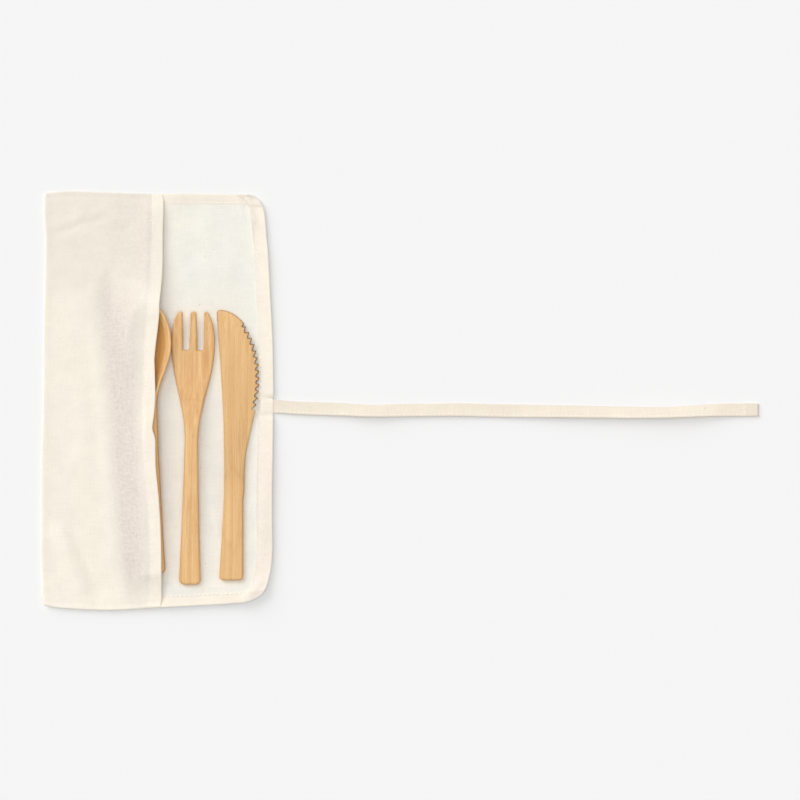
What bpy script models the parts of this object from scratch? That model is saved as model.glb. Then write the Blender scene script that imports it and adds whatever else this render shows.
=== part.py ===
"""Bamboo spoon, fork and knife with their cotton pouch, lying open on a table.

Metres, +Z up. The origin is the middle of the pouch's footprint, on its underside.
+X runs from the pouch's fold to its tie, +Y runs towards the heads of the cutlery.
"""
import math

import bmesh
import bpy
from mathutils import Vector

MM = 0.001

# Pouch: one cloth, folded at the left, pocket on the left, single flap on the right
POUCH_LENGTH = 305 * MM
POCKET_DEPTH = 86.5 * MM
FLAP_WIDTH = 81.5 * MM
CLOTH = 0.5 * MM
HEM_THICKNESS = 1.2 * MM
HEM_WIDTH = 9.7 * MM
HEM_STEP = 0.4 * MM
END_HEM_WIDTH = 8 * MM
END_SEAM_WIDTH = 5 * MM
FLAP_CORNER_RADIUS = 12 * MM
FOLD_GAP = 1.0 * MM
LAYER_GAP = 0.5 * MM
FOLD_FLATTENS_OVER = 12 * MM
MOUTH_SET_BACK = 6.2 * MM
SET_BACK_SPAN = 62 * MM
SET_BACK_Y = -8 * MM
FLAP_EDGE = (POCKET_DEPTH + FLAP_WIDTH) / 2
MOUTH_LINE = POCKET_DEPTH - FLAP_EDGE
POUCH_END = POUCH_LENGTH / 2

# How the pocket's front hangs over the spoon, and how the flap's corners are drawn in
TENT_RUN = 26 * MM
TENT_END_RUN = 34 * MM
TENT_MARGIN = 1.5 * MM
TENT_CLEARANCE = 0.45 * MM
TENT_SOFTNESS = 0.55
BRIDGE_REACH = 8 * MM
CORNER_DRAWN_IN = 3.8 * MM
CORNER_DRAWN_UP = 4.5 * MM
CORNER_DRAWN_DOWN = 2.5 * MM

# Clearances: between pieces that touch, and under the tie
REST_GAP = 0.3 * MM
TABLE_GAP = 0.1 * MM

# Tie: flat tape, its first end sewn into the flap's hem
TIE_WIDTH = 9.5 * MM
TIE_THICKNESS = 1.0 * MM
TIE_EDGE_ROUND = 0.3 * MM
TIE_END_HEM = 11 * MM
TIE_END_HEM_THICKNESS = 1.5 * MM
TIE_IN_HEM = 9.0 * MM
TIE_Y = -4.9 * MM
# Route of the tape's centre line in millimetres, from the flap's edge and from the middle
# of the sewn-in end, with the roll of the tape in degrees
TIE_ROUTE = [
    (0.0, 0.0, 0), (4.0, -0.1, 3), (13.0, -0.9, 6), (22.0, -1.4, 8), (36.0, -1.9, 9),
    (48.0, -2.2, 12), (61.0, -3.0, 25), (70.0, -3.5, 31), (81.0, -3.5, 26), (96.0, -3.0, 14),
    (116.0, -2.6, 9), (137.0, -2.3, 8), (156.0, -2.7, 8), (174.0, -3.1, 10), (194.0, -3.3, 15),
    (212.0, -3.5, 21), (234.0, -3.9, 25), (256.0, -4.2, 28), (276.0, -4.4, 33),
    (292.0, -4.3, 36), (304.0, -3.7, 32), (314.0, -3.1, 26), (326.0, -2.6, 17),
    (337.0, -2.4, 9), (348.0, -2.4, 4), (357.7, -2.4, 0),
]
ROUTE_POINTS_AT_HEM = 2

# Handles of spoon and fork, sanded round along their edges
HANDLE_THICKNESS = 5.0 * MM
HANDLE_END_WIDTH = 15.4 * MM
HANDLE_END_RADIUS = 3.5 * MM
HANDLE_TAPER = 1.3
NECK_WIDTH = 9.2 * MM
EDGE_ROUND = 1.2 * MM

# Spoon
SPOON_LENGTH = 198 * MM
SPOON_NECK_FROM_END = 112 * MM
SPOON_BOWL_WIDTH = 30.0 * MM
SPOON_BOWL_FROM_TIP = 28.7 * MM
SPOON_SHOULDER_LENGTH = 42.3 * MM
SPOON_NECK_RISE = 4.6 * MM
SPOON_RIM_HEIGHT = 8.4 * MM
SPOON_TIP_THICKNESS = 2.2 * MM
SPOON_TIP_HALF_WIDTH = 0.8 * MM
SPOON_DISH_DEPTH = 6.0 * MM
SPOON_DISH_LENGTH = 67 * MM
SPOON_RIM_LAND = 1.7 * MM
SPOON_CHAMFER = 0.84 * MM
HANDLE_SQUARENESS = 0.42
BOWL_SQUARENESS = 0.95
SPOON_IN_FROM_MOUTH = 4.1 * MM
SPOON_UP_FROM_END = 24.9 * MM
SPOON_TURN = math.radians(1.25)

# Fork
FORK_LENGTH = 200 * MM
FORK_NECK_FROM_END = 105 * MM
FORK_HEAD_WIDTH = 31.6 * MM
FORK_HEAD_FROM_TIP = 23 * MM
FORK_TIP_WIDTH = 22.4 * MM
FORK_NECK_RISE = 4.2 * MM
FORK_HEEL_FROM_TIP = 40 * MM
FORK_TIP_RISE = 5.0 * MM
FORK_CURL = 1.6
FORK_HEAD_THICKNESS = 3.4 * MM
FORK_TIP_THICKNESS = 2.2 * MM
SLOT_DEPTH = 28.7 * MM
SLOT_ROOT_WIDTH = 5.6 * MM
SLOT_MOUTH_WIDTH = 6.6 * MM
SLOT_CORNER_RADIUS = 1.3 * MM
MIDDLE_TINE_ROOT_WIDTH = 4.8 * MM
MIDDLE_TINE_TIP_WIDTH = 3.4 * MM
FORK_IN_FROM_EDGE = 60.1 * MM
FORK_UP_FROM_END = 17.3 * MM
FORK_TURN = math.radians(-0.8)

# Knife
KNIFE_LENGTH = 198.8 * MM
KNIFE_THICKNESS = 4.5 * MM
KNIFE_WAIST_WIDTH = 14.6 * MM
KNIFE_END_RADIUS = 2.6 * MM
KNIFE_WAIST_FROM_END = 91 * MM
SPINE_HOLLOW_TO_TIP = 4.9 * MM
SPINE_HOLLOW_TO_END = 3.2 * MM
BLADE_REACH = 19.8 * MM
BLADE_BELLY_LENGTH = 50.6 * MM
BLADE_TIP_OFFSET = 9.6 * MM
BLADE_HEEL_FROM_END = 81 * MM
TIP_ROUND_FROM_DEGREES = 100
GRIND_WIDTH = 13 * MM
GRIND_RUN = 34 * MM
GRIND_CURVE = 1.3
CUTTING_THICKNESS = 1.1 * MM
TOOTH_COUNT = 14
TOOTH_PITCH = 5.0 * MM
TOOTH_DEPTH = 3.3 * MM
TOOTH_RISE_SHARE = 0.25
TOOTH_FIRST_LEAD_SHARE = 0.3
TOOTH_TIP_CUT = 0.12 * MM
TEETH_FROM_TOP = 22.0 * MM
KNIFE_IN_FROM_EDGE = 28.3 * MM
KNIFE_UP_FROM_END = 19.8 * MM

# How finely the forms are divided
ARC_STEPS = 5
SPOON_HANDLE_STEP = 12 * MM
SPOON_BOWL_STEP = 5 * MM
SPOON_TIP_STEPS = 9
DISH_STEPS = 8
UNDERSIDE_STEPS = 12
FORK_HANDLE_STEP = 14 * MM
FORK_SHOULDER_STEP = 6 * MM
FORK_TINE_STEP = 5 * MM
PLATE_STEP = 8 * MM
KNIFE_HANDLE_STEP = 26 * MM
KNIFE_HEEL_STEP = 7 * MM
KNIFE_SPINE_STEP = 13 * MM
KNIFE_BELLY_STEPS = 14
KNIFE_TIP_CUTS = (1.6 * MM, 4.0 * MM)
BLADE_CUT_STEP = 5 * MM
EDGE_WALK_STEP = 1 * MM
EDGE_WALK_BELLY_STEPS = 60
ROW_STEP = 7 * MM
ROW_LEAST_GAP = 0.3 * MM
FLAP_COLUMNS = 5
FRONT_SHARES = [0.0, 0.06, 0.14, 0.24, 0.34, 0.43, 0.51, 0.585, 0.655, 0.72, 0.785, 0.845]
FOLD_TURNS = 3
PAD_FLAT = 0.6 * MM
PAD_SLOPE = 1.6 * MM
SLOPE_PROBE = 0.5 * MM
TIE_STEP = 8 * MM
CUTTER_OVERHANG = 4 * MM


def clear_scene():
    for obj in list(bpy.data.objects):
        bpy.data.objects.remove(obj, do_unlink=True)


def within(value, low, high):
    return min(max(value, low), high)


def ease(t):
    """Smooth rise from 0 to 1 while t goes from 0 to 1."""
    return 0.5 - 0.5 * math.cos(math.pi * within(t, 0.0, 1.0))


def between(a, b, t):
    return a + (b - a) * t


def steps(start, end, spacing):
    """Evenly spaced values from start to end, no further apart than spacing."""
    count = max(1, math.ceil((end - start) / spacing))
    return [between(start, end, i / count) for i in range(count + 1)]


def make_material(name, rgb, roughness):
    material = bpy.data.materials.new(name)
    material.use_nodes = True
    shader = material.node_tree.nodes["Principled BSDF"]
    shader.inputs["Base Color"].default_value = (*rgb, 1.0)
    shader.inputs["Roughness"].default_value = roughness
    shader.inputs["Metallic"].default_value = 0.0
    return material


def link_mesh(name, bm):
    """Turn a bmesh into a named object."""
    bmesh.ops.recalc_face_normals(bm, faces=bm.faces[:])
    mesh = bpy.data.meshes.new(name)
    bm.to_mesh(mesh)
    bm.free()
    obj = bpy.data.objects.new(name, mesh)
    bpy.context.scene.collection.objects.link(obj)
    return obj


def finish_mesh(name, bm, material, sharp_angle=math.radians(40)):
    """Turn a bmesh into a smooth-shaded object with its own material."""
    obj = link_mesh(name, bm)
    obj.data.shade_smooth()
    obj.data.set_sharp_from_angle(angle=sharp_angle)
    obj.data.materials.append(material)
    return obj


def cut_with(obj, cutter):
    """Subtract a cutter object, which stays in the file but isn't part of the model."""
    cutter.hide_render = True
    cutter.display_type = 'WIRE'
    cut = obj.modifiers.new("cut " + cutter.name, 'BOOLEAN')
    cut.operation = 'DIFFERENCE'
    cut.solver = 'EXACT'
    cut.object = cutter


def extrude_outline(bm, outline, height):
    """Raise a flat outline into a solid plate."""
    face = bm.faces.new([bm.verts.new(point) for point in outline])
    bm.normal_update()
    if face.normal.z > 0:
        face.normal_flip()
    lifted = bmesh.ops.extrude_face_region(bm, geom=[face])["geom"]
    raised = [item for item in lifted if isinstance(item, bmesh.types.BMVert)]
    bmesh.ops.translate(bm, vec=(0, 0, height), verts=raised)


def loft(bm, rings):
    """Skin equal rings of points and close both ends."""
    loops = [[bm.verts.new(point) for point in ring] for ring in rings]
    count = len(loops[0])
    for near, far in zip(loops, loops[1:]):
        for i in range(count):
            j = (i + 1) % count
            bm.faces.new((near[i], near[j], far[j], far[i]))
    bm.faces.new(loops[0])
    bm.faces.new(loops[-1])


def lay_down(obj, x, up_from_end, turn=0.0):
    """Lay a piece of cutlery on the cloth, its handle's end a given way up the pouch."""
    obj.location = (x, up_from_end - POUCH_END, CLOTH + REST_GAP)
    obj.rotation_euler.z = turn


# Handles

def handle_half_width(along, neck_from_end):
    """Half width of a handle from its rounded end to its neck."""
    taper = (1.0 - min(along / neck_from_end, 1.0)) ** HANDLE_TAPER
    half = between(NECK_WIDTH, HANDLE_END_WIDTH, taper) / 2
    if along < HANDLE_END_RADIUS:
        run = HANDLE_END_RADIUS - along
        half -= HANDLE_END_RADIUS - math.sqrt(HANDLE_END_RADIUS ** 2 - run ** 2)
    return half


def corner_steps(radius):
    """Distances from an end that follow a quarter round evenly."""
    return [radius * (1 - math.cos(math.pi / 2 * i / ARC_STEPS)) for i in range(ARC_STEPS + 1)]


# Spoon

SPOON_WIDEST = SPOON_LENGTH - SPOON_BOWL_FROM_TIP


def round_of_bowl(along):
    """From 1 at the bowl's widest place to 0 at the spoon's tip, as a round."""
    return math.sqrt(max(0.0, 1 - ((along - SPOON_WIDEST) / SPOON_BOWL_FROM_TIP) ** 2))


def spoon_half_width(along):
    bowl = SPOON_BOWL_WIDTH / 2
    if along > SPOON_WIDEST:
        return bowl * round_of_bowl(along)
    shoulder = ease((along - SPOON_WIDEST + SPOON_SHOULDER_LENGTH) / SPOON_SHOULDER_LENGTH)
    return between(handle_half_width(along, SPOON_NECK_FROM_END), bowl, shoulder)


def spoon_top(along):
    """Height of the spoon's upper face above what it lies on."""
    neck_top = SPOON_NECK_RISE + HANDLE_THICKNESS
    if along <= SPOON_NECK_FROM_END:
        return between(HANDLE_THICKNESS, neck_top, ease(along / SPOON_NECK_FROM_END))
    run = (along - SPOON_NECK_FROM_END) / (SPOON_LENGTH - SPOON_NECK_FROM_END)
    return between(neck_top, SPOON_RIM_HEIGHT, ease(run))


def spoon_underside(along):
    """Height of the spoon's lowest line above what it lies on."""
    if along <= SPOON_NECK_FROM_END:
        return SPOON_NECK_RISE * ease(along / SPOON_NECK_FROM_END)
    if along <= SPOON_WIDEST:
        run = (along - SPOON_NECK_FROM_END) / (SPOON_WIDEST - SPOON_NECK_FROM_END)
        return SPOON_NECK_RISE * (1 - ease(run))
    return (SPOON_RIM_HEIGHT - SPOON_TIP_THICKNESS) * (1 - round_of_bowl(along))


def spoon_dish(along):
    """Depth of the hollow along the bowl's middle line."""
    to_tip = SPOON_BOWL_FROM_TIP - SPOON_RIM_LAND
    reach = to_tip if along > SPOON_WIDEST else SPOON_DISH_LENGTH - to_tip
    share = (along - SPOON_WIDEST) / reach
    return SPOON_DISH_DEPTH * math.sqrt(max(0.0, 1 - share ** 2))


def spoon_ring(along):
    """One cross-section: land, hollow, land, then round the underside."""
    half = max(spoon_half_width(along), SPOON_TIP_HALF_WIDTH)
    top = spoon_top(along)
    bottom = spoon_underside(along)
    bowl_share = ease((along - SPOON_NECK_FROM_END) / (SPOON_WIDEST - SPOON_NECK_FROM_END))
    squareness = between(HANDLE_SQUARENESS, BOWL_SQUARENESS, bowl_share)
    chamfer = min(SPOON_CHAMFER, half * 0.4)
    if along < EDGE_ROUND:
        pinch = SPOON_CHAMFER * (1 - along / EDGE_ROUND)
        top -= pinch
        bottom += pinch
    inner = half - min(SPOON_RIM_LAND, half * 0.45)
    dish = spoon_dish(along)
    ring = [(half - chamfer, along, top)]
    for i in range(DISH_STEPS + 1):
        x = inner * math.cos(math.pi * i / DISH_STEPS)
        ring.append((x, along, top - dish * (1 - (x / inner) ** 2)))
    ring.append((chamfer - half, along, top))
    for i in range(UNDERSIDE_STEPS + 1):
        angle = math.pi * i / UNDERSIDE_STEPS
        cosine, sine = math.cos(angle), math.sin(angle)
        x = -half * math.copysign(abs(cosine) ** squareness, cosine)
        z = (top - chamfer) - (top - chamfer - bottom) * sine ** squareness
        ring.append((x, along, z))
    return ring


def make_spoon(material):
    stations = [0.0, EDGE_ROUND * 0.4, EDGE_ROUND, HANDLE_END_RADIUS]
    stations += steps(HANDLE_END_RADIUS, SPOON_NECK_FROM_END, SPOON_HANDLE_STEP)[1:]
    stations += steps(SPOON_NECK_FROM_END, SPOON_WIDEST, SPOON_BOWL_STEP)[1:]
    for i in range(1, SPOON_TIP_STEPS + 1):
        share = math.sin(math.pi / 2 * i / SPOON_TIP_STEPS)
        stations.append(SPOON_WIDEST + SPOON_BOWL_FROM_TIP * share)
    bm = bmesh.new()
    loft(bm, [spoon_ring(along) for along in stations])
    obj = finish_mesh("spoon", bm, material)
    lay_down(obj, MOUTH_LINE - SPOON_IN_FROM_MOUTH, SPOON_UP_FROM_END, SPOON_TURN)


# Flat-sawn pieces: cut from an outline, edges rounded, then shaped along their length

def sawn_plate(outline, thickness, cuts_along, cuts_across=()):
    """Extrude an outline, round its edges and divide it so that it can be shaped."""
    bm = bmesh.new()
    extrude_outline(bm, [(x, y, 0.0) for x, y in outline], thickness)
    rims = [edge for edge in bm.edges
            if abs(edge.verts[0].co.z - edge.verts[1].co.z) < thickness / 2]
    bmesh.ops.bevel(bm, geom=rims, offset=EDGE_ROUND, offset_type='OFFSET', segments=2,
                    profile=0.5, affect='EDGES', clamp_overlap=False)
    planes = [((0, y, 0), (0, 1, 0)) for y in cuts_along]
    planes += [((x, 0, 0), (1, 0, 0)) for x in cuts_across]
    for place, facing in planes:
        bmesh.ops.bisect_plane(bm, geom=bm.verts[:] + bm.edges[:] + bm.faces[:],
                               dist=1e-7, plane_co=place, plane_no=facing)
    return bm


def arc(centre_x, centre_y, radius, start, end):
    """Points on an arc, angles in degrees."""
    points = []
    for i in range(ARC_STEPS + 1):
        angle = math.radians(between(start, end, i / ARC_STEPS))
        points.append((centre_x + radius * math.cos(angle), centre_y + radius * math.sin(angle)))
    return points


def mirrored(right_side):
    """Close an outline by mirroring its right side in the line x = 0."""
    left_side = [(-x, y) for x, y in reversed(right_side) if x > 1e-6]
    return right_side + left_side


# Fork

FORK_WIDEST = FORK_LENGTH - FORK_HEAD_FROM_TIP
FORK_HEEL = FORK_LENGTH - FORK_HEEL_FROM_TIP


def fork_half_width(along):
    if along <= FORK_NECK_FROM_END:
        return handle_half_width(along, FORK_NECK_FROM_END)
    if along <= FORK_WIDEST:
        rise = ease((along - FORK_NECK_FROM_END) / (FORK_WIDEST - FORK_NECK_FROM_END))
        return between(NECK_WIDTH, FORK_HEAD_WIDTH, rise) / 2
    share = (along - FORK_WIDEST) / FORK_HEAD_FROM_TIP
    return between(FORK_HEAD_WIDTH, FORK_TIP_WIDTH, share ** 2) / 2


def slot_edges(along):
    """Inner and outer edge of the right-hand slot at a place along its depth."""
    share = (along - (FORK_LENGTH - SLOT_DEPTH)) / SLOT_DEPTH
    inner = between(MIDDLE_TINE_ROOT_WIDTH, MIDDLE_TINE_TIP_WIDTH, share) / 2
    return inner, inner + between(SLOT_ROOT_WIDTH, SLOT_MOUTH_WIDTH, share)


def fork_outline():
    root = FORK_LENGTH - SLOT_DEPTH
    outer_mouth = slot_edges(FORK_LENGTH)[1]
    outer_tip = (FORK_TIP_WIDTH / 2 - outer_mouth) / 2
    middle_tip = MIDDLE_TINE_TIP_WIDTH / 2
    places = corner_steps(HANDLE_END_RADIUS)
    places += steps(HANDLE_END_RADIUS, FORK_NECK_FROM_END, FORK_HANDLE_STEP)[1:]
    places += steps(FORK_NECK_FROM_END, FORK_WIDEST, FORK_SHOULDER_STEP)[1:]
    places += steps(FORK_WIDEST, FORK_LENGTH - outer_tip, FORK_TINE_STEP)[1:-1]
    side = [(0.0, 0.0)] + [(fork_half_width(y), y) for y in places]
    side += arc(outer_mouth + outer_tip, FORK_LENGTH - outer_tip, outer_tip, 0, 180)
    inner_root, outer_root = slot_edges(root)
    round_in = SLOT_CORNER_RADIUS
    side += arc(outer_root - round_in, root + round_in, round_in, 0, -90)
    side += arc(inner_root + round_in, root + round_in, round_in, -90, -180)
    side += arc(0.0, FORK_LENGTH - middle_tip, middle_tip, 0, 90)
    return mirrored(side)


def fork_underside(along):
    """Height of the fork's lower face above what it lies on."""
    if along <= FORK_NECK_FROM_END:
        return FORK_NECK_RISE * ease(along / FORK_NECK_FROM_END)
    if along <= FORK_HEEL:
        run = (along - FORK_NECK_FROM_END) / (FORK_HEEL - FORK_NECK_FROM_END)
        return FORK_NECK_RISE * (1 - ease(run))
    return FORK_TIP_RISE * ((along - FORK_HEEL) / FORK_HEEL_FROM_TIP) ** FORK_CURL


def fork_thickness(along):
    if along <= FORK_HEEL:
        run = (along - FORK_NECK_FROM_END) / (FORK_HEEL - FORK_NECK_FROM_END)
        return between(HANDLE_THICKNESS, FORK_HEAD_THICKNESS, ease(run))
    share = (along - FORK_HEEL) / FORK_HEEL_FROM_TIP
    return between(FORK_HEAD_THICKNESS, FORK_TIP_THICKNESS, share)


def make_fork(material):
    cuts = steps(0.0, FORK_LENGTH, PLATE_STEP)[1:-1]
    bm = sawn_plate(fork_outline(), HANDLE_THICKNESS, cuts)
    for vert in bm.verts:
        share = vert.co.z / HANDLE_THICKNESS
        along = vert.co.y
        vert.co.z = fork_underside(along) + share * fork_thickness(along)
    obj = finish_mesh("fork", bm, material)
    lay_down(obj, FLAP_EDGE - FORK_IN_FROM_EDGE, FORK_UP_FROM_END, FORK_TURN)


# Knife

BLADE_WIDEST = KNIFE_LENGTH - BLADE_BELLY_LENGTH
BELLY_REACH = BLADE_REACH + BLADE_TIP_OFFSET


def spine_x(along):
    """The spine hollows gently towards the knife's waist."""
    if along > KNIFE_WAIST_FROM_END:
        share = (along - KNIFE_WAIST_FROM_END) / (KNIFE_LENGTH - KNIFE_WAIST_FROM_END)
        return -KNIFE_WAIST_WIDTH / 2 - SPINE_HOLLOW_TO_TIP * share ** 2
    share = (KNIFE_WAIST_FROM_END - along) / KNIFE_WAIST_FROM_END
    return -KNIFE_WAIST_WIDTH / 2 - SPINE_HOLLOW_TO_END * share ** 2


def blade_edge_x(along):
    """The edge side: straight handle, swelling heel, then a round belly to the tip."""
    if along <= BLADE_WIDEST:
        run = (along - BLADE_HEEL_FROM_END) / (BLADE_WIDEST - BLADE_HEEL_FROM_END)
        return between(KNIFE_WAIST_WIDTH / 2, BLADE_REACH, ease(run))
    share = (along - BLADE_WIDEST) / BLADE_BELLY_LENGTH
    return -BLADE_TIP_OFFSET + BELLY_REACH * math.sqrt(max(0.0, 1 - share ** 2))


def belly_steps(count):
    """Places along the belly that follow its round evenly, widest place first."""
    turns = [math.pi / 2 * i / count for i in range(count + 1)]
    return [BLADE_WIDEST + BLADE_BELLY_LENGTH * math.sin(turn) for turn in turns]


def knife_outline():
    radius = KNIFE_END_RADIUS
    places = steps(radius, BLADE_HEEL_FROM_END, KNIFE_HANDLE_STEP)[1:]
    places += steps(BLADE_HEEL_FROM_END, BLADE_WIDEST, KNIFE_HEEL_STEP)[1:-1]
    places += belly_steps(KNIFE_BELLY_STEPS)
    spine_places = steps(radius, KNIFE_LENGTH - radius, KNIFE_SPINE_STEP)[1:-1]
    tip_centre = spine_x(KNIFE_LENGTH - radius) + radius
    points = arc(KNIFE_WAIST_WIDTH / 2 - radius, radius, radius, -90, 0)
    points += [(blade_edge_x(y), y) for y in places]
    points += arc(tip_centre, KNIFE_LENGTH - radius, radius, TIP_ROUND_FROM_DEGREES, 180)
    points += [(spine_x(y), y) for y in reversed(spine_places)]
    points += arc(spine_x(radius) + radius, radius, radius, 180, 270)
    return points


def edge_distance(x, along):
    """How far a place on the blade lies from its edge."""
    if along <= BLADE_WIDEST:
        return blade_edge_x(along) - x
    out = max(x + BLADE_TIP_OFFSET, 0.0) / BELLY_REACH
    up = (along - BLADE_WIDEST) / BLADE_BELLY_LENGTH
    return (1 - math.hypot(out, up)) * between(BELLY_REACH, BLADE_BELLY_LENGTH, up)


def knife_thickness(x, along):
    """Full at the spine, ground thin towards the toothed edge."""
    ground = ease((along - BLADE_HEEL_FROM_END) / GRIND_RUN)
    nearness = 1 - within(edge_distance(x, along) / GRIND_WIDTH, 0.0, 1.0)
    return between(KNIFE_THICKNESS, CUTTING_THICKNESS, ground * nearness ** GRIND_CURVE)


def edge_walk():
    """The toothed part of the edge from near the tip towards the heel, as close points."""
    heel = steps(BLADE_HEEL_FROM_END, BLADE_WIDEST, EDGE_WALK_STEP)[:-1]
    places = heel + belly_steps(EDGE_WALK_BELLY_STEPS)
    return [Vector((blade_edge_x(y), y, 0.0)) for y in reversed(places)]


def point_on_walk(walk, distance, inset):
    """The point at a distance along the walk, moved inwards from the edge."""
    for near, far in zip(walk, walk[1:]):
        length = (far - near).length
        if length > 1e-9 and distance <= length:
            forward = (far - near) / length
            inwards = Vector((forward.y, -forward.x, 0.0))
            return near + forward * distance + inwards * inset
        distance -= length
    return walk[-1].copy()


def make_teeth_cutter():
    """One saw-toothed block that files all the notches into the edge."""
    walk = edge_walk()
    rise = TOOTH_PITCH * TOOTH_RISE_SHARE
    lead = TOOTH_PITCH * TOOTH_FIRST_LEAD_SHARE
    below = Vector((0, 0, -KNIFE_THICKNESS))
    outside = [point_on_walk(walk, TEETH_FROM_TOP - lead, -CUTTER_OVERHANG)]
    inside = []
    for i in range(TOOTH_COUNT):
        notch = TEETH_FROM_TOP + i * TOOTH_PITCH
        inside.append(point_on_walk(walk, notch, TOOTH_DEPTH))
        inside.append(point_on_walk(walk, notch + rise, TOOTH_TIP_CUT))
        outside.append(point_on_walk(walk, notch, -CUTTER_OVERHANG))
        outside.append(point_on_walk(walk, notch + rise, -CUTTER_OVERHANG))
    outline = inside[:-1] + list(reversed(outside))
    bm = bmesh.new()
    extrude_outline(bm, [point + below for point in outline], KNIFE_THICKNESS * 3)
    return link_mesh("teeth_cutter", bm)


def make_knife(material):
    cuts_along = steps(BLADE_HEEL_FROM_END, KNIFE_LENGTH, PLATE_STEP)[:-1]
    cuts_along += [KNIFE_LENGTH - cut for cut in KNIFE_TIP_CUTS]
    cuts_across = steps(-BLADE_TIP_OFFSET, BLADE_REACH, BLADE_CUT_STEP)[1:-1]
    bm = sawn_plate(knife_outline(), KNIFE_THICKNESS, cuts_along, cuts_across)
    middle = KNIFE_THICKNESS / 2
    for vert in bm.verts:
        share = (vert.co.z - middle) / KNIFE_THICKNESS
        vert.co.z = middle + share * knife_thickness(vert.co.x, vert.co.y)
    bmesh.ops.triangulate(bm, faces=bm.faces[:], quad_method='BEAUTY', ngon_method='BEAUTY')
    obj = finish_mesh("knife", bm, material)
    lay_down(obj, FLAP_EDGE - KNIFE_IN_FROM_EDGE, KNIFE_UP_FROM_END)
    cutter = make_teeth_cutter()
    cutter.parent = obj
    cut_with(obj, cutter)


# Pouch

# Where the cloth starts to turn over; the turn itself bulges out to the pouch's side
FOLD_LINE = (2 * CLOTH + FOLD_GAP) / 2 - FLAP_EDGE
SPOON_START = SPOON_UP_FROM_END - POUCH_END
SPOON_END = SPOON_START + SPOON_LENGTH * math.cos(SPOON_TURN)
SLOT_HALF_WIDTH = TIE_WIDTH / 2 + REST_GAP
SLOT_HEIGHT = TIE_THICKNESS + 2 * REST_GAP


def mouth_x(y):
    """Edge of the pocket's mouth, drawn back where the cloth climbs over the spoon."""
    pull = MOUTH_SET_BACK * math.exp(-((y - SET_BACK_Y) / SET_BACK_SPAN) ** 2)
    return FOLD_LINE + POCKET_DEPTH - pull


def flap_x(y):
    """Free edge of the flap, with its rounded corners."""
    run = max(FLAP_CORNER_RADIUS - (POUCH_END - abs(y)), 0.0)
    inwards = FLAP_CORNER_RADIUS - math.sqrt(max(0.0, FLAP_CORNER_RADIUS ** 2 - run ** 2))
    return FLAP_EDGE - inwards


def spoon_nearby(y):
    """Places along the spoon that the cloth bridges from one side of y to the other."""
    along = y - SPOON_START
    return [within(along + BRIDGE_REACH * share, 0.0, SPOON_LENGTH) for share in (-1, -0.5, 0, 0.5, 1)]


def tent_height(y):
    """Height of the front cloth's inner face over the spoon, above the back cloth."""
    height = REST_GAP + max(spoon_top(along) for along in spoon_nearby(y)) + TENT_CLEARANCE
    if SPOON_START <= y <= SPOON_END:
        return height
    beyond = SPOON_START - y if y < SPOON_START else y - SPOON_END
    room = POUCH_END - END_SEAM_WIDTH - (-SPOON_START if y < SPOON_START else SPOON_END)
    run = min(TENT_END_RUN, room)
    return between(height, LAYER_GAP, ease((beyond - TENT_MARGIN) / (run - TENT_MARGIN)))


def spoon_left_x(y):
    """Left side of what the cloth hangs over, kept clear of the bowl and the handle."""
    axis = MOUTH_LINE - SPOON_IN_FROM_MOUTH
    axis -= math.sin(SPOON_TURN) * within(y - SPOON_START, 0.0, SPOON_LENGTH)
    return axis - max(spoon_half_width(along) for along in spoon_nearby(y)) - TENT_MARGIN


def front_inner_z(x, y):
    """Inner face of the pocket's front: close to the back, then tented over the spoon."""
    top = tent_height(y)
    run = TENT_RUN * top / (HANDLE_THICKNESS + SPOON_NECK_RISE)
    share = within((x - spoon_left_x(y) + run) / run, 0.0, 1.0)
    slope = between(share, ease(share), TENT_SOFTNESS)
    near_fold = 1 - ease((x - FOLD_LINE) / FOLD_FLATTENS_OVER)
    base = between(LAYER_GAP, FOLD_GAP, near_fold)
    return CLOTH + max(base, between(base, top, slope))


def lay(x, y, z):
    """Lay the cloth out as it really lies: the flap's corners are drawn in a little."""
    across = within((x - mouth_x(y)) / (FLAP_EDGE - mouth_x(y)), 0.0, 1.0)
    upper, lower = ease(y / POUCH_END), ease(-y / POUCH_END)
    x -= CORNER_DRAWN_IN * across * upper
    y += across ** 2 * (CORNER_DRAWN_UP * lower - CORNER_DRAWN_DOWN * upper)
    return (x, y, z)


def pouch_rows():
    """Y positions of the grid: seams, hems and corners, and regular steps between them."""
    from_end = [0.0, END_SEAM_WIDTH, END_HEM_WIDTH, END_HEM_WIDTH + HEM_STEP]
    for place in corner_steps(FLAP_CORNER_RADIUS)[1:]:
        if min(abs(place - other) for other in from_end) > ROW_LEAST_GAP:
            from_end.append(place)
    from_end.sort()
    pad = SLOT_HALF_WIDTH + PAD_FLAT
    near_tie = [TIE_Y - pad - PAD_SLOPE, TIE_Y - pad, TIE_Y + pad, TIE_Y + pad + PAD_SLOPE]
    rows = [place - POUCH_END for place in from_end]
    rows += steps(rows[-1], near_tie[0], ROW_STEP)[1:]
    rows += near_tie[1:]
    rows += steps(rows[-1], POUCH_END - from_end[-1], ROW_STEP)[1:-1]
    rows += [POUCH_END - place for place in reversed(from_end)]
    return rows


def front_columns(y):
    """X positions across the pocket, closer together towards its mouth."""
    mouth = mouth_x(y)
    last = mouth - HEM_WIDTH - HEM_STEP
    xs = [between(FOLD_LINE, last, share / FRONT_SHARES[-1]) for share in FRONT_SHARES]
    return xs + [mouth - HEM_WIDTH, mouth - HEM_WIDTH / 2, mouth]


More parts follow.
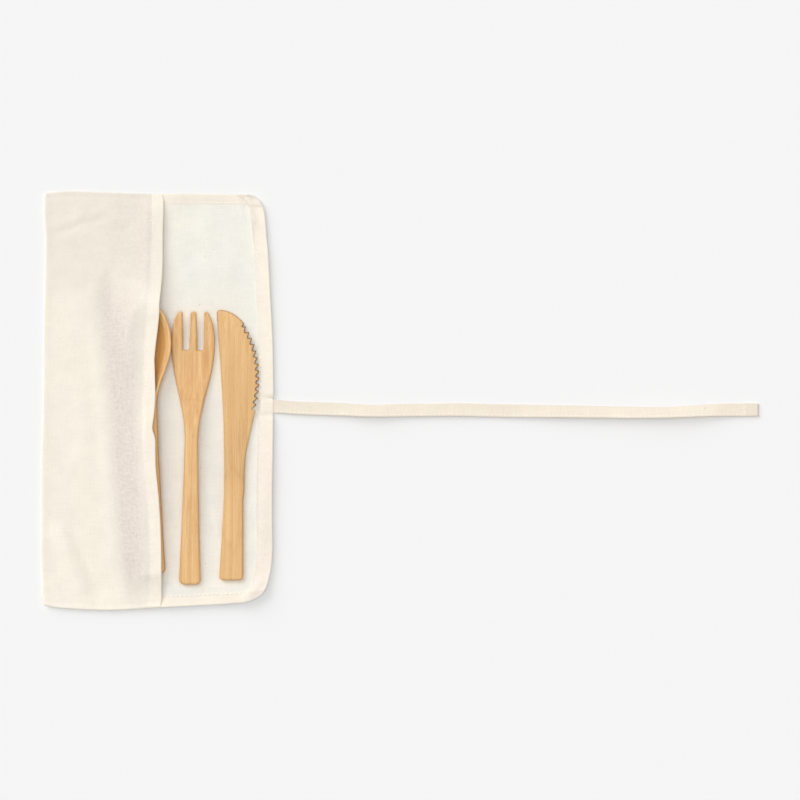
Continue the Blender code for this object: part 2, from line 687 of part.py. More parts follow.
def flap_columns(y):
    """X positions across the flap."""
    start, edge = mouth_x(y) + HEM_STEP, flap_x(y)
    inner = edge - HEM_WIDTH - HEM_STEP
    xs = [between(start, inner, i / FLAP_COLUMNS) for i in range(FLAP_COLUMNS + 1)]
    return xs + [edge - HEM_WIDTH, edge]


def flap_top(column, y):
    """Upper face of the flap: single cloth inside, hems round three sides."""
    in_side_hem = column > FLAP_COLUMNS
    if in_side_hem and abs(y - TIE_Y) < SLOT_HALF_WIDTH + PAD_FLAT + PAD_SLOPE / 2:
        return CLOTH + SLOT_HEIGHT + CLOTH
    in_end_hem = POUCH_END - abs(y) < END_HEM_WIDTH + HEM_STEP / 2
    return HEM_THICKNESS if in_end_hem or in_side_hem else CLOTH


def front_outer_z(x, y, thickness):
    """Outer face of the pocket's front, the cloth's thickness measured square to it."""
    rise = front_inner_z(x + SLOPE_PROBE, y) - front_inner_z(x - SLOPE_PROBE, y)
    return front_inner_z(x, y) + thickness * math.hypot(1.0, rise / (2 * SLOPE_PROBE))


def strip(bm, lower, upper, first=0, last=None, flip=False):
    """Faces between two rows of points, from one column to another."""
    for i in range(first, len(lower) - 1 if last is None else last):
        corners = [lower[i], lower[i + 1], upper[i + 1], upper[i]]
        corners = [v for n, v in enumerate(corners) if v not in corners[:n]]
        if len(corners) > 2:
            bm.faces.new(reversed(corners) if flip else corners)


class ClothRow:
    """Points of the folded cloth at one place along the pouch."""

    def __init__(self, bm, y, sewn):
        fronts, flaps = front_columns(y), flap_columns(y)
        heights = [CLOTH] * len(fronts) + [flap_top(i, y) for i in range(len(flaps))]
        self.under = [bm.verts.new(lay(x, y, 0.0)) for x in fronts + flaps]
        self.back = [bm.verts.new(lay(x, y, z)) for x, z in zip(fronts + flaps, heights)]
        self.outer = []
        self.inner = []
        for i, x in enumerate(fronts):
            thickness = HEM_THICKNESS if i >= len(FRONT_SHARES) else CLOTH
            top = CLOTH + HEM_THICKNESS if sewn else front_outer_z(x, y, thickness)
            self.outer.append(bm.verts.new((x, y, top)))
            if i == 0 or sewn:
                self.inner.append(self.back[i])
            else:
                self.inner.append(bm.verts.new((x, y, front_inner_z(x, y))))
        radius = self.outer[0].co.z / 2
        self.turn = [self.under[0]]
        for k in range(1, FOLD_TURNS + 1):
            angle = math.pi * k / (FOLD_TURNS + 1)
            out, up = radius * math.sin(angle), radius * (1 - math.cos(angle))
            self.turn.append(bm.verts.new((FOLD_LINE - out, y, up)))
        self.turn.append(self.outer[0])


def make_pouch(material):
    """One grid of cloth: underside, back and flap above it, and the folded-over front."""
    bm = bmesh.new()
    sewn_from = POUCH_END - END_SEAM_WIDTH - SLOPE_PROBE
    places = pouch_rows()
    rows = [ClothRow(bm, y, abs(y) > sewn_from) for y in places]
    mouth = len(rows[0].outer) - 1
    for y, near, far in zip(places, rows, rows[1:]):
        strip(bm, near.under, far.under, flip=True)
        strip(bm, near.outer, far.outer)
        strip(bm, near.back, far.back, first=mouth)
        strip(bm, near.turn, far.turn)
        strip(bm, [near.outer[-1], near.inner[-1]], [far.outer[-1], far.inner[-1]])
        strip(bm, [near.back[-1], near.under[-1]], [far.back[-1], far.under[-1]])
        inside_pocket = near.inner[-1] is not near.back[mouth] or far.inner[-1] is not far.back[mouth]
        if inside_pocket:
            strip(bm, near.inner, far.inner, flip=True)
            strip(bm, near.back, far.back, last=mouth)
    for row in (rows[0], rows[-1]):
        under, back, outer = row.under, row.back, row.outer
        strip(bm, under, outer, last=mouth - 1)
        strip(bm, under, back, first=mouth)
        bm.faces.new((under[mouth - 1], under[mouth], back[mouth], outer[mouth], outer[mouth - 1]))
        bm.faces.new([under[0], outer[0]] + list(reversed(row.turn[1:-1])))
    unused = [vert for vert in bm.verts if not vert.link_faces]
    bmesh.ops.delete(bm, geom=unused, context='VERTS')
    obj = finish_mesh("pouch", bm, material, math.radians(50))
    cut_with(obj, make_tie_slot())


def make_tie_slot():
    """Room inside the flap's hem for the sewn-in end of the tie."""
    depth = TIE_IN_HEM + REST_GAP
    length = depth + CUTTER_OVERHANG
    bm = bmesh.new()
    bmesh.ops.create_cube(bm, size=1.0)
    bmesh.ops.scale(bm, vec=(length, SLOT_HALF_WIDTH * 2, SLOT_HEIGHT), verts=bm.verts[:])
    slot = link_mesh("tie_slot", bm)
    slot.location = (FLAP_EDGE - depth + length / 2, TIE_Y, CLOTH + SLOT_HEIGHT / 2)
    return slot


# Tie

def tie_route():
    """Centre line of the tape from inside the hem, with the tape's roll as fourth value."""
    hem_z = CLOTH + REST_GAP + TIE_THICKNESS / 2
    route = [Vector((FLAP_EDGE - TIE_IN_HEM, TIE_Y, hem_z, 0.0))]
    for i, (out, across, degrees) in enumerate(TIE_ROUTE):
        roll = math.radians(degrees)
        z = TABLE_GAP + TIE_THICKNESS / 2 + TIE_WIDTH / 2 * abs(math.sin(roll))
        if i < ROUTE_POINTS_AT_HEM:
            z = hem_z
        route.append(Vector((FLAP_EDGE + out * MM, TIE_Y + across * MM, z, roll)))
    return route


def smooth_route(points, spacing):
    """Evenly placed points on a smooth curve through the given ones."""
    padded = [points[0] * 2 - points[1]] + points + [points[-1] * 2 - points[-2]]
    result = [points[0].copy()]
    for p0, p1, p2, p3 in zip(padded, padded[1:], padded[2:], padded[3:]):
        count = max(1, round((p2.xyz - p1.xyz).length / spacing))
        for k in range(1, count + 1):
            t = k / count
            square = 2 * p0 - 5 * p1 + 4 * p2 - p3
            cube = 3 * p1 - p0 - 3 * p2 + p3
            result.append((2 * p1 + (p2 - p0) * t + square * t ** 2 + cube * t ** 3) / 2)
    return result


def tape_section(centre, side, face, thickness):
    """Eight points round the flat tape, its long edges rounded."""
    w, h = TIE_WIDTH / 2, thickness / 2
    corner, wall = w - TIE_EDGE_ROUND, h - TIE_EDGE_ROUND
    section = [(w, -wall), (w, wall), (corner, h), (-corner, h),
               (-w, wall), (-w, -wall), (-corner, -h), (corner, -h)]
    return [centre + side * a + face * b for a, b in section]


def make_tie(material):
    stations = smooth_route(tie_route(), TIE_STEP)
    length = sum((b.xyz - a.xyz).length for a, b in zip(stations, stations[1:]))
    travelled = 0.0
    rings = []
    for before, station, after in zip(stations[:1] + stations, stations, stations[1:] + stations[-1:]):
        travelled += (station.xyz - before.xyz).length
        forward = (after.xyz - before.xyz).normalized()
        across = forward.cross(Vector((0, 0, 1))).normalized()
        up = across.cross(forward)
        roll = station.w
        side = across * math.cos(roll) + up * math.sin(roll)
        face = up * math.cos(roll) - across * math.sin(roll)
        turned_over = travelled > length - TIE_END_HEM
        thickness = TIE_END_HEM_THICKNESS if turned_over else TIE_THICKNESS
        centre = station.xyz + face * (thickness - TIE_THICKNESS) / 2
        rings.append(tape_section(centre, side, face, thickness))
    bm = bmesh.new()
    loft(bm, rings)
    finish_mesh("tie", bm, material)


def build():
    clear_scene()
    make_pouch(make_material("unbleached_cotton", (0.86, 0.80, 0.70), 0.95))
    make_tie(make_material("cotton_tape", (0.90, 0.84, 0.74), 0.95))
    make_spoon(make_material("bamboo_spoon", (0.77, 0.47, 0.21), 0.55))
    make_fork(make_material("bamboo_fork", (0.78, 0.46, 0.20), 0.55))
    make_knife(make_material("bamboo_knife", (0.77, 0.47, 0.21), 0.55))


build()
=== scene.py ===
"""Bamboo cutlery set on its open cotton pouch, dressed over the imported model."""
import math

import bmesh
import bpy
import numpy as np
from mathutils import Matrix, Vector, noise
from mathutils.bvhtree import BVHTree
from mathutils.kdtree import KDTree


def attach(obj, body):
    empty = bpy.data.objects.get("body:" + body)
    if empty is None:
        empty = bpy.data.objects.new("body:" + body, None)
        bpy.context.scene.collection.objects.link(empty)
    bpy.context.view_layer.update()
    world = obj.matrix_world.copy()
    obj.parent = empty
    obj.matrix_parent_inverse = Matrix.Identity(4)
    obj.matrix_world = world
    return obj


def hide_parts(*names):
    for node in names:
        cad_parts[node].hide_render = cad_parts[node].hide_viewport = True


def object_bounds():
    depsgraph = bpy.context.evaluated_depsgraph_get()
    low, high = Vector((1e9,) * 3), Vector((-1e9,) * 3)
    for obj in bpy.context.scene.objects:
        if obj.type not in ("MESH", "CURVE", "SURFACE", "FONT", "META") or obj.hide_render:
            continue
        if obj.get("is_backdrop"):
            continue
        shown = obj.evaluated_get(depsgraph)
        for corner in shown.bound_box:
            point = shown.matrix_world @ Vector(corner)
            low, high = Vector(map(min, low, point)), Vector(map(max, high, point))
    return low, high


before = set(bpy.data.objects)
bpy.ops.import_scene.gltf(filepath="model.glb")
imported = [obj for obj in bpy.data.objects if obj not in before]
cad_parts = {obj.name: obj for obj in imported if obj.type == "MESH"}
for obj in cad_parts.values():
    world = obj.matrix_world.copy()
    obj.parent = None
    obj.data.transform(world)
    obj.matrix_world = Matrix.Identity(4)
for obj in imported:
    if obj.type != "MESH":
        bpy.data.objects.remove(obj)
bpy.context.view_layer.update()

MM = 0.001


# View, light and table
# The set lies on a plain pale table and is seen from straight above. A wide soft light hangs
# over it, and soft daylight from the upper left throws short shadows to the lower right.

def linear(code):
    """An sRGB hex colour as a linear RGBA colour."""
    coded = [int(code[i:i + 2], 16) / 255 for i in (0, 2, 4)]
    plain = [v / 12.92 if v <= 0.04045 else ((v + 0.055) / 1.055) ** 2.4 for v in coded]
    return (*plain, 1.0)


def add_node(tree, kind, inputs=None, **settings):
    """Add one shader node. An input is a value, or another node's output socket."""
    node = tree.nodes.new("ShaderNode" + kind)
    for name, value in settings.items():
        setattr(node, name, value)
    for key, value in (inputs or {}).items():
        if isinstance(value, bpy.types.NodeSocket):
            tree.links.new(value, node.inputs[key])
        else:
            node.inputs[key].default_value = value
    return node


def new_material(name):
    """A node material with its tree and shader."""
    material = bpy.data.materials.new(name)
    material.use_nodes = True
    return material, material.node_tree, material.node_tree.nodes["Principled BSDF"]


# What one pixel of an 800-pixel picture covers on the table
PIXEL = 0.735 * MM
VIEW_WIDTH = 800 * PIXEL
VIEW_CENTRE_X = 178.2 * MM
LENS = 150.0
SENSOR = 36.0
SUN_FROM_LEFT_DEGREES = 45
SUN_OFF_ZENITH_DEGREES = 60
SUN_STRENGTH = 1.45
SUN_SOFTNESS_DEGREES = 42
OVERHEAD_STRENGTH = 1.33
OVERHEAD_SOFTNESS_DEGREES = 50
SKY_STRENGTH = 0.35
TABLE_SIZE = 6.0

bpy.ops.object.select_all(action="DESELECT")
bpy.ops.object.camera_add(location=(VIEW_CENTRE_X, 0.0, VIEW_WIDTH * LENS / SENSOR))
camera = bpy.context.object
camera.name = "camera"
camera.rotation_euler = (0.0, 0.0, 0.0)
camera.data.lens = LENS
camera.data.sensor_width = SENSOR
bpy.context.scene.camera = camera

off_zenith = math.radians(SUN_OFF_ZENITH_DEGREES)
from_left = math.radians(SUN_FROM_LEFT_DEGREES)
sun_ray = Vector((math.sin(off_zenith) * math.cos(from_left),
                  -math.sin(off_zenith) * math.sin(from_left),
                  -math.cos(off_zenith)))
bpy.ops.object.light_add(type="SUN", location=(0.0, 0.0, 2.0))
sun = bpy.context.object
sun.name = "window_light"
sun.rotation_euler = sun_ray.to_track_quat("-Z", "Y").to_euler()
sun.data.energy = SUN_STRENGTH
sun.data.angle = math.radians(SUN_SOFTNESS_DEGREES)

bpy.ops.object.light_add(type="SUN", location=(0.0, 0.0, 2.0))
overhead = bpy.context.object
overhead.name = "overhead_softbox"
overhead.rotation_euler = (0.0, 0.0, 0.0)
overhead.data.energy = OVERHEAD_STRENGTH
overhead.data.angle = math.radians(OVERHEAD_SOFTNESS_DEGREES)

world = bpy.data.worlds.new("pale_room")
bpy.context.scene.world = world
world.use_nodes = True
room = world.node_tree
room.nodes.clear()
light_path = add_node(room, "LightPath")
soft_light = add_node(room, "Background", {"Color": (1.0, 1.0, 1.0, 1.0), "Strength": SKY_STRENGTH})
seen = add_node(room, "Background", {"Color": linear("F5F5F5"), "Strength": 1.0})
# The camera, mirror-like reflections and light passing through see the plain backdrop
seen_or_mirrored = add_node(room, "Math", {0: light_path.outputs["Is Camera Ray"],
                                           1: light_path.outputs["Is Glossy Ray"]},
                            operation="MAXIMUM")
direct = add_node(room, "Math", {0: seen_or_mirrored.outputs[0],
                                 1: light_path.outputs["Is Transmission Ray"]},
                  operation="MAXIMUM")
mixed = add_node(room, "MixShader", {0: direct.outputs[0], 1: soft_light.outputs[0],
                                     2: seen.outputs[0]})
add_node(room, "OutputWorld", {"Surface": mixed.outputs[0]})
bpy.context.scene.view_settings.view_transform = "Standard"

bpy.ops.mesh.primitive_plane_add(size=TABLE_SIZE, location=(VIEW_CENTRE_X, 0.0, 0.0))
table = bpy.context.object
table.name = "table_top"
paper, tree, shader = new_material("matt_white_paper")
shader.inputs["Base Color"].default_value = linear("F5F5F5")
shader.inputs["Roughness"].default_value = 1.0
shader.inputs["Specular IOR Level"].default_value = 0.0
table.data.materials.append(paper)
table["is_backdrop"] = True


# Tie
# A flat strip of the same cotton, folded to its width and stitched along one side. One end is
# sewn inside the pouch's hem, the other is turned over and stitched across. It lies loose on
# the table and is rolled a little about its length, so its lower edge stands up in places.

TIE_WIDTH = 9.5 * MM
TIE_THICKNESS = 1.0 * MM
TIE_END_HEM = 11 * MM
TIE_END_HEM_THICKNESS = 1.5 * MM
TIE_EXIT = (0.0840, -0.0049, 0.0013)
TIE_IN_HEM = 9.0 * MM
TIE_RING_STEP = 1.5 * MM
# Its sides run unevenly, and its top is dented, by so much and over such lengths
TIE_RIPPLE = 0.18 * MM
TIE_RIPPLE_LENGTH = 12 * MM
TIE_DENT = 0.10 * MM
TIE_DENT_LENGTH = 7 * MM
TABLE_GAP = 0.1 * MM
# Centre line in metres and the strip's roll in degrees
TIE_ROUTE = [
    (0.0840, -0.0049, 0), (0.0880, -0.0049, 3), (0.0970, -0.0055, 6), (0.1060, -0.0060, 8),
    (0.1200, -0.0065, 9), (0.1320, -0.0068, 12), (0.1450, -0.0075, 21), (0.1540, -0.0079, 25),
    (0.1650, -0.0080, 22), (0.1800, -0.0076, 14), (0.2000, -0.0074, 11), (0.2210, -0.0072, 11),
    (0.2400, -0.0076, 8), (0.2580, -0.0080, 10), (0.2780, -0.0082, 15), (0.2960, -0.0084, 21),
    (0.3180, -0.0088, 25), (0.3400, -0.0091, 28), (0.3600, -0.0093, 33), (0.3760, -0.0092, 36),
    (0.3880, -0.0086, 32), (0.3980, -0.0080, 26), (0.4100, -0.0075, 17), (0.4210, -0.0073, 9),
    (0.4320, -0.0073, 4), (0.4417, -0.0073, 0),
]
ROUTE_POINTS_AT_HEM = 2
# The strip's section round its edge: places across it, and up through its thickness
TIE_SECTION = [
    (1.0, 0.30), (1.0, 0.72), (0.95, 0.96), (0.80, 1.0), (0.62, 0.90), (0.3, 0.84), (0.0, 0.86),
    (-0.35, 0.84), (-0.66, 0.90), (-0.84, 1.0), (-0.96, 0.96), (-1.0, 0.72), (-1.0, 0.30),
    (-0.95, 0.04), (-0.8, 0.0), (-0.3, 0.06), (0.3, 0.06), (0.8, 0.0), (0.95, 0.04)]
TIE_SEAM_ACROSS = 0.70
TIE_END_SEAM_ACROSS = 0.86
# The seam's points that lie between the pouch's hem and the turned end
TIE_SEAM_SEEN = slice(8, -9)


def new_piece(name, bm):
    """End the work on a mesh and make it a smoothly shaded piece."""
    mesh = bpy.data.meshes.new(name)
    bm.to_mesh(mesh)
    bm.free()
    mesh.shade_smooth()
    piece = bpy.data.objects.new(name, mesh)
    bpy.context.scene.collection.objects.link(piece)
    return piece


def ease(t):
    """Smooth rise from 0 to 1 while t goes from 0 to 1."""
    t = min(max(t, 0.0), 1.0)
    return t * t * (3 - 2 * t)


def smooth_curve(points, spacing):
    """Evenly placed points on a smooth curve through the given ones."""
    padded = [points[0] * 2 - points[1]] + points + [points[-1] * 2 - points[-2]]
    result = [points[0].copy()]
    for p0, p1, p2, p3 in zip(padded, padded[1:], padded[2:], padded[3:]):
        count = max(1, round((p2.xyz - p1.xyz).length / spacing))
        for k in range(1, count + 1):
            t = k / count
            square = 2 * p0 - 5 * p1 + 4 * p2 - p3
            cube = 3 * p1 - p0 - 3 * p2 + p3
            result.append((2 * p1 + (p2 - p0) * t + square * t ** 2 + cube * t ** 3) / 2)
    return result


THREAD_SPACING = 0.6 * MM


def woven_cotton(name, single, double, hemmed, shaded):
    """Plain-woven unbleached cotton: matt, slubby, with a few flecks of husk left in it.

    single, double and hemmed are its colours where one layer, two or more lie on the pale
    table. shaded is the colour of painted shade, which it is drawn towards mostly where it hangs
    over a shaded gap and the shade shows through. Threads are really 0.4 mm apart, and are drawn
    at THREAD_SPACING so that they still show in a close view.
    """
    material, tree, shader = new_material(name)
    uv = add_node(tree, "UVMap", uv_map="cloth")
    split = add_node(tree, "SeparateXYZ", {0: uv.outputs[0]})
    thread = math.pi / THREAD_SPACING
    warp = add_node(tree, "Math", {0: split.outputs[0], 1: thread}, operation="MULTIPLY")
    weft = add_node(tree, "Math", {0: split.outputs[1], 1: thread}, operation="MULTIPLY")
    warp_wave = add_node(tree, "Math", {0: warp.outputs[0]}, operation="SINE")
    weft_wave = add_node(tree, "Math", {0: weft.outputs[0]}, operation="SINE")
    weave = add_node(tree, "Math", {0: warp_wave.outputs[0], 1: weft_wave.outputs[0]},
                     operation="MULTIPLY")
    # Slubs are 1 mm thick places in single threads, 8 to 15 mm long, both ways of the cloth
    lengthwise = add_node(tree, "Mapping", {"Vector": uv.outputs[0], "Scale": (1100, 90, 1)})
    crosswise = add_node(tree, "Mapping", {"Vector": uv.outputs[0], "Scale": (90, 1100, 1)})
    slub_a = add_node(tree, "TexNoise", {"Vector": lengthwise.outputs[0], "Scale": 1.0,
                                         "Detail": 3.0, "Roughness": 0.6})
    slub_b = add_node(tree, "TexNoise", {"Vector": crosswise.outputs[0], "Scale": 1.0,
                                         "Detail": 3.0, "Roughness": 0.6})
    slubs = add_node(tree, "Math", {0: slub_a.outputs["Fac"], 1: slub_b.outputs["Fac"]},
                     operation="ADD")
    # Uneven see-through patches of about 15 mm, and yellower ones of about 40 mm
    patches = add_node(tree, "TexNoise", {"Vector": uv.outputs[0], "Scale": 65.0,
                                          "Detail": 4.0, "Roughness": 0.55})
    yellowed = add_node(tree, "TexNoise", {"Vector": uv.outputs[0], "Scale": 24.0, "Detail": 2.0})
    # The painted shade, where the cloth is off what lies below, shows through unevenly, in 2.5 mm
    # blotches
    mottling = add_node(tree, "TexNoise", {"Vector": uv.outputs[0], "Scale": 420.0,
                                           "Detail": 4.0, "Roughness": 0.7})
    doubled = add_node(tree, "Attribute", attribute_name="doubled")
    painted_shade = add_node(tree, "Attribute", attribute_name="painted_shade")
    to_double = add_node(tree, "MapRange", {"Value": doubled.outputs["Fac"], 1: 0.0, 2: 0.5})
    to_hem = add_node(tree, "MapRange", {"Value": doubled.outputs["Fac"], 1: 0.5, 2: 1.0})
    layers = add_node(tree, "Mix", {0: to_double.outputs[0], 6: linear(single), 7: linear(double)},
                      data_type="RGBA")
    base = add_node(tree, "Mix", {0: to_hem.outputs[0], 6: layers.outputs[2], 7: linear(hemmed)},
                    data_type="RGBA")
    yellow_share = add_node(tree, "MapRange", {"Value": yellowed.outputs["Fac"], 1: 0.4, 2: 0.7,
                                               3: 0.0, 4: 0.30})
    warm = add_node(tree, "Mix", {0: yellow_share.outputs[0], 6: base.outputs[2],
                                  7: linear("F7F0DC")}, data_type="RGBA")
    threads_and_blotches = add_node(tree, "Math", {
        0: slubs.outputs[0], 1: 0.7, 2: mottling.outputs["Fac"]}, operation="MULTIPLY_ADD")
    through = add_node(tree, "MapRange", {"Value": threads_and_blotches.outputs[0], 1: 0.95,
                                          2: 1.45, 3: 0.40, 4: 1.1})
    shade = add_node(tree, "Math", {0: painted_shade.outputs["Fac"], 1: through.outputs[0]},
                     operation="MULTIPLY", use_clamp=True)
    over_painted_shade = add_node(tree, "Mix", {0: shade.outputs[0], 6: warm.outputs[2],
                                         7: linear(shaded)}, data_type="RGBA")
    slub_tone = add_node(tree, "MapRange", {"Value": slubs.outputs[0], 1: 0.7, 2: 1.3,
                                            3: 0.965, 4: 1.035})
    patch_tone = add_node(tree, "MapRange", {"Value": patches.outputs["Fac"], 1: 0.3, 2: 0.7,
                                             3: 0.975, 4: 1.02})
    tone = add_node(tree, "Math", {0: slub_tone.outputs[0], 1: patch_tone.outputs[0]},
                    operation="MULTIPLY")
    toned = add_node(tree, "VectorMath", {0: over_painted_shade.outputs[2], 3: tone.outputs[0]},
                     operation="SCALE")
    # Flecks of husk about 0.5 by 1.5 mm, one in every few square centimetres
    fleck_space = add_node(tree, "Mapping", {"Vector": uv.outputs[0], "Scale": (330, 520, 1)})
    fleck = add_node(tree, "TexNoise", {"Vector": fleck_space.outputs[0], "Scale": 1.0,
                                        "Detail": 1.0})
    fleck_mask = add_node(tree, "MapRange", {"Value": fleck.outputs["Fac"], 1: 0.775, 2: 0.81,
                                             3: 0.0, 4: 0.45})
    flecked = add_node(tree, "Mix", {0: fleck_mask.outputs[0], 6: toned.outputs[0],
                                     7: linear("A08058")}, data_type="RGBA")
    tree.links.new(flecked.outputs[2], shader.inputs["Base Color"])
    relief = add_node(tree, "Math", {0: weave.outputs[0], 1: 0.28, 2: slubs.outputs[0]},
                      operation="MULTIPLY_ADD")
    bump = add_node(tree, "Bump", {"Strength": 0.40, "Distance": 0.30 * MM,
                                   "Height": relief.outputs[0]})
    tree.links.new(bump.outputs[0], shader.inputs["Normal"])
    shader.inputs["Roughness"].default_value = 0.92
    shader.inputs["Specular IOR Level"].default_value = 0.2
    shader.inputs["Sheen Weight"].default_value = 0.08
    return material


def set_cloth_data(piece, doubled, painted_shade):
    """Per-vertex values that the cotton reads: how many layers lie there, and how much painted
    shade it takes.
    """
    for name, values in (("doubled", doubled), ("painted_shade", painted_shade)):
        layer = piece.data.attributes.new(name, "FLOAT", "POINT")
        layer.data.foreach_set("value", np.asarray(values, dtype=np.float32).ravel())


def tie_stations():
    """Centre line of the strip from inside the hem, with the roll as fourth value."""
    hem_z = TIE_EXIT[2]
    route = [Vector((TIE_EXIT[0] - TIE_IN_HEM, TIE_EXIT[1], hem_z, 0.0))]
    for i, (x, y, degrees) in enumerate(TIE_ROUTE):
        roll = math.radians(degrees)
        z = TABLE_GAP + TIE_THICKNESS / 2 + TIE_WIDTH / 2 * math.sin(roll)
        route.append(Vector((x, y, hem_z if i < ROUTE_POINTS_AT_HEM else z, roll)))
    return smooth_curve(route, TIE_RING_STEP)


def build_tie():
    """Skin the strip, and note where its stitches lie."""
    stations = tie_stations()
    length = sum((b.xyz - a.xyz).length for a, b in zip(stations, stations[1:]))
    bm = bmesh.new()
    uv = bm.loops.layers.uv.new("cloth")
    rings, places = [], []
    seam, end_seam = [], []
    travelled = 0.0
    for before, here, after in zip(stations[:1] + stations, stations, stations[1:] + stations[-1:]):
        travelled += (here.xyz - before.xyz).length
        forward = (after.xyz - before.xyz).normalized()
        across = forward.cross(Vector((0, 0, 1))).normalized()
        up = across.cross(forward)
        side = across * math.cos(here.w) + up * math.sin(here.w)
        face = up * math.cos(here.w) - across * math.sin(here.w)
        turned = ease((travelled - length + TIE_END_HEM + 0.5 * MM) / (1 * MM))
        ripple = noise.noise(Vector((travelled / TIE_RIPPLE_LENGTH, 3.1, 0.0))) * TIE_RIPPLE
        w = TIE_WIDTH / 2 + ripple * (1 - turned)
        low = -TIE_THICKNESS / 2
        top = TIE_THICKNESS / 2 + (TIE_END_HEM_THICKNESS - TIE_THICKNESS) * turned
        # The turned end is pressed, so its last ring is a little smaller
        if length - travelled < 0.1 * MM:
            w -= 0.15 * MM
            top -= 0.2 * MM
        ring = []
        for a, b in TIE_SECTION:
            dent = 0.0
            if b > 0.5 and abs(a) < 0.9:
                dent = noise.noise(Vector((travelled / TIE_DENT_LENGTH, a * 1.4, 7.7))) * TIE_DENT
            height = low + (top - low) * b + dent
            ring.append(bm.verts.new(here.xyz + side * (w * a) + face * height))
        rings.append(ring)
        places.append(travelled)
        height = low + (top - low) * 0.93 + 0.05 * MM
        seam.append(here.xyz + side * (w * TIE_SEAM_ACROSS) + face * height)
        if abs(travelled - (length - TIE_END_HEM + 1.2 * MM)) < TIE_RING_STEP / 2:
            end_seam = [here.xyz + side * (w * a) + face * (top + 0.02 * MM)
                        for a in (TIE_END_SEAM_ACROSS, -TIE_END_SEAM_ACROSS)]
    count = len(rings[0])
    girth = [TIE_WIDTH * 2 * i / count for i in range(count + 1)]
    for (near, at), (far, beyond) in zip(zip(rings, places), zip(rings[1:], places[1:])):
        for i in range(count):
            j = (i + 1) % count
            face = bm.faces.new((near[i], near[j], far[j], far[i]))
            for loop, place in zip(face.loops, ((girth[i], at), (girth[i + 1], at),
                                                (girth[i + 1], beyond), (girth[i], beyond))):
                loop[uv].uv = place
    bm.faces.new(rings[0])
    bm.faces.new(rings[-1])
    bmesh.ops.recalc_face_normals(bm, faces=bm.faces[:])
    piece = new_piece("tie_strip", bm)
    return piece, [station.xyz for station in stations], length, seam, end_seam


tie, tie_path, tie_length, tie_seam, tie_end_seam = build_tie()
tie.data.materials.append(
    woven_cotton("folded_cotton_strip", "EFE4D3", "EFE4D3", "F4E8D8", "E7DBCB"))
set_cloth_data(tie, [0.5] * len(tie.data.vertices), [0.0] * len(tie.data.vertices))
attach(tie, "root")
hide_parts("tie")


# Pouch
# One thin unbleached cotton cloth, folded at the left into a pocket with sewn ends and a hemmed
# mouth, and running on to the right as a flap hemmed on three sides. One layer on the table
# looks greyish and hems look creamier. Where the spoon holds the front up, shade painted on it
# stands for the shaded gap below showing through.

CLOTH = 0.36 * MM
HEM_GAP = 0.06 * MM
BACK_Z = 0.28 * MM
MOUTH_HEM = [0.0, 0.35, 0.9, 1.7, 2.7, 3.8, 5.0, 6.2, 7.3, 8.0]
SIDE_HEM = [0.0, 0.35, 0.9, 1.8, 3.0, 4.4, 5.9, 7.4, 9.0, 10.2, 11.0]
SIDE_HEM_AT_TOP_SHARE = 0.88
BOTTOM_HEM_LAST_ROW = 9
TOP_HEM_LAST_ROW = 8
END_ROWS = [0.0, 0.35, 0.8, 1.5, 2.4, 3.5, 4.7, 5.9, 7.1, 8.3, 9.6]
# The outline was measured where the cloth's turned edges end
TURN_REACH = 0.15
MAIN_ROWS = 165
FRONT_COLUMNS = 46
FLAP_COLUMNS = 40
POUCH_HALF = 150.7
# Outline of the lying pouch in millimetres: x at y, then y at x for the two ends
FOLD_EDGE = [
    (-150.7, -83.3), (-144.0, -84.1), (-135.0, -84.2), (-118.0, -85.0), (-91.0, -84.9),
    (-47.0, -84.8), (-29.0, -84.2), (-12.0, -83.6), (15.0, -83.2), (41.0, -83.0), (67.6, -82.8),
    (85.0, -82.4), (103.0, -82.0), (120.0, -81.9), (132.0, -82.5), (138.0, -83.3), (147.0, -82.9),
    (150.7, -82.7)]
MOUTH_EDGE = [
    (-150.7, 2.1), (-147.0, 2.9), (-128.6, 3.2), (-111.0, 3.1), (-93.3, 2.7), (-72.0, 1.5),
    (-48.5, -0.8), (-28.7, -0.9), (-24.6, -2.0), (-21.3, -3.4), (-17.6, -2.9), (-10.3, -1.9),
    (3.7, -0.9), (17.6, -1.4), (30.1, -1.9), (41.2, -0.8), (52.2, 0.6), (63.2, 1.8), (70.6, 1.7),
    (80.8, 2.7), (91.1, 3.6), (105.8, 4.0), (119.8, 3.9), (133.8, 4.3), (147.7, 4.4), (150.7, 3.4)]
FLAP_EDGE = [
    (-150.7, 62.5), (-150.2, 67.0), (-149.2, 71.0), (-147.6, 74.8), (-145.6, 77.2), (-142.6, 79.2),
    (-138.2, 80.9), (-128.6, 83.1), (-123.5, 83.7), (-111.7, 84.4), (-88.2, 84.1), (-64.7, 84.1),
    (-41.0, 84.5), (-17.6, 84.8), (5.9, 85.1), (29.4, 84.8), (41.2, 84.5), (52.9, 84.0),
    (64.7, 83.4), (76.4, 82.7), (88.0, 82.2), (100.0, 81.6), (111.7, 80.9), (125.0, 79.6),
    (136.0, 78.8), (142.0, 77.6), (146.0, 75.7), (148.6, 73.2), (150.0, 70.6), (150.7, 67.0)]
TOP_EDGE = [
    (-83, 151.6), (-80.5, 152.1), (-64.3, 153.2), (-42.3, 152.4), (-20.2, 151.7), (1.8, 151.1),
    (31.2, 151.2), (68.0, 150.5), (85, 149.8)]
BOTTOM_EDGE = [
    (-83, -150.7), (-71.7, -152.4), (-57.0, -153.4), (-34.9, -154.1), (-12.9, -153.0),
    (3.3, -151.9), (16.5, -151.2), (31.2, -150.4), (45.9, -149.7), (60.6, -148.7), (70, -147.6),
    (85, -145.8)]


def trace(table, places, rounding):
    """Read a table of measured places, with its corners rounded over."""
    xs, ys = zip(*table)
    reads = [np.interp(places + shift, xs, ys) for shift in np.linspace(-rounding, rounding, 5)]
    return np.mean(reads, axis=0)


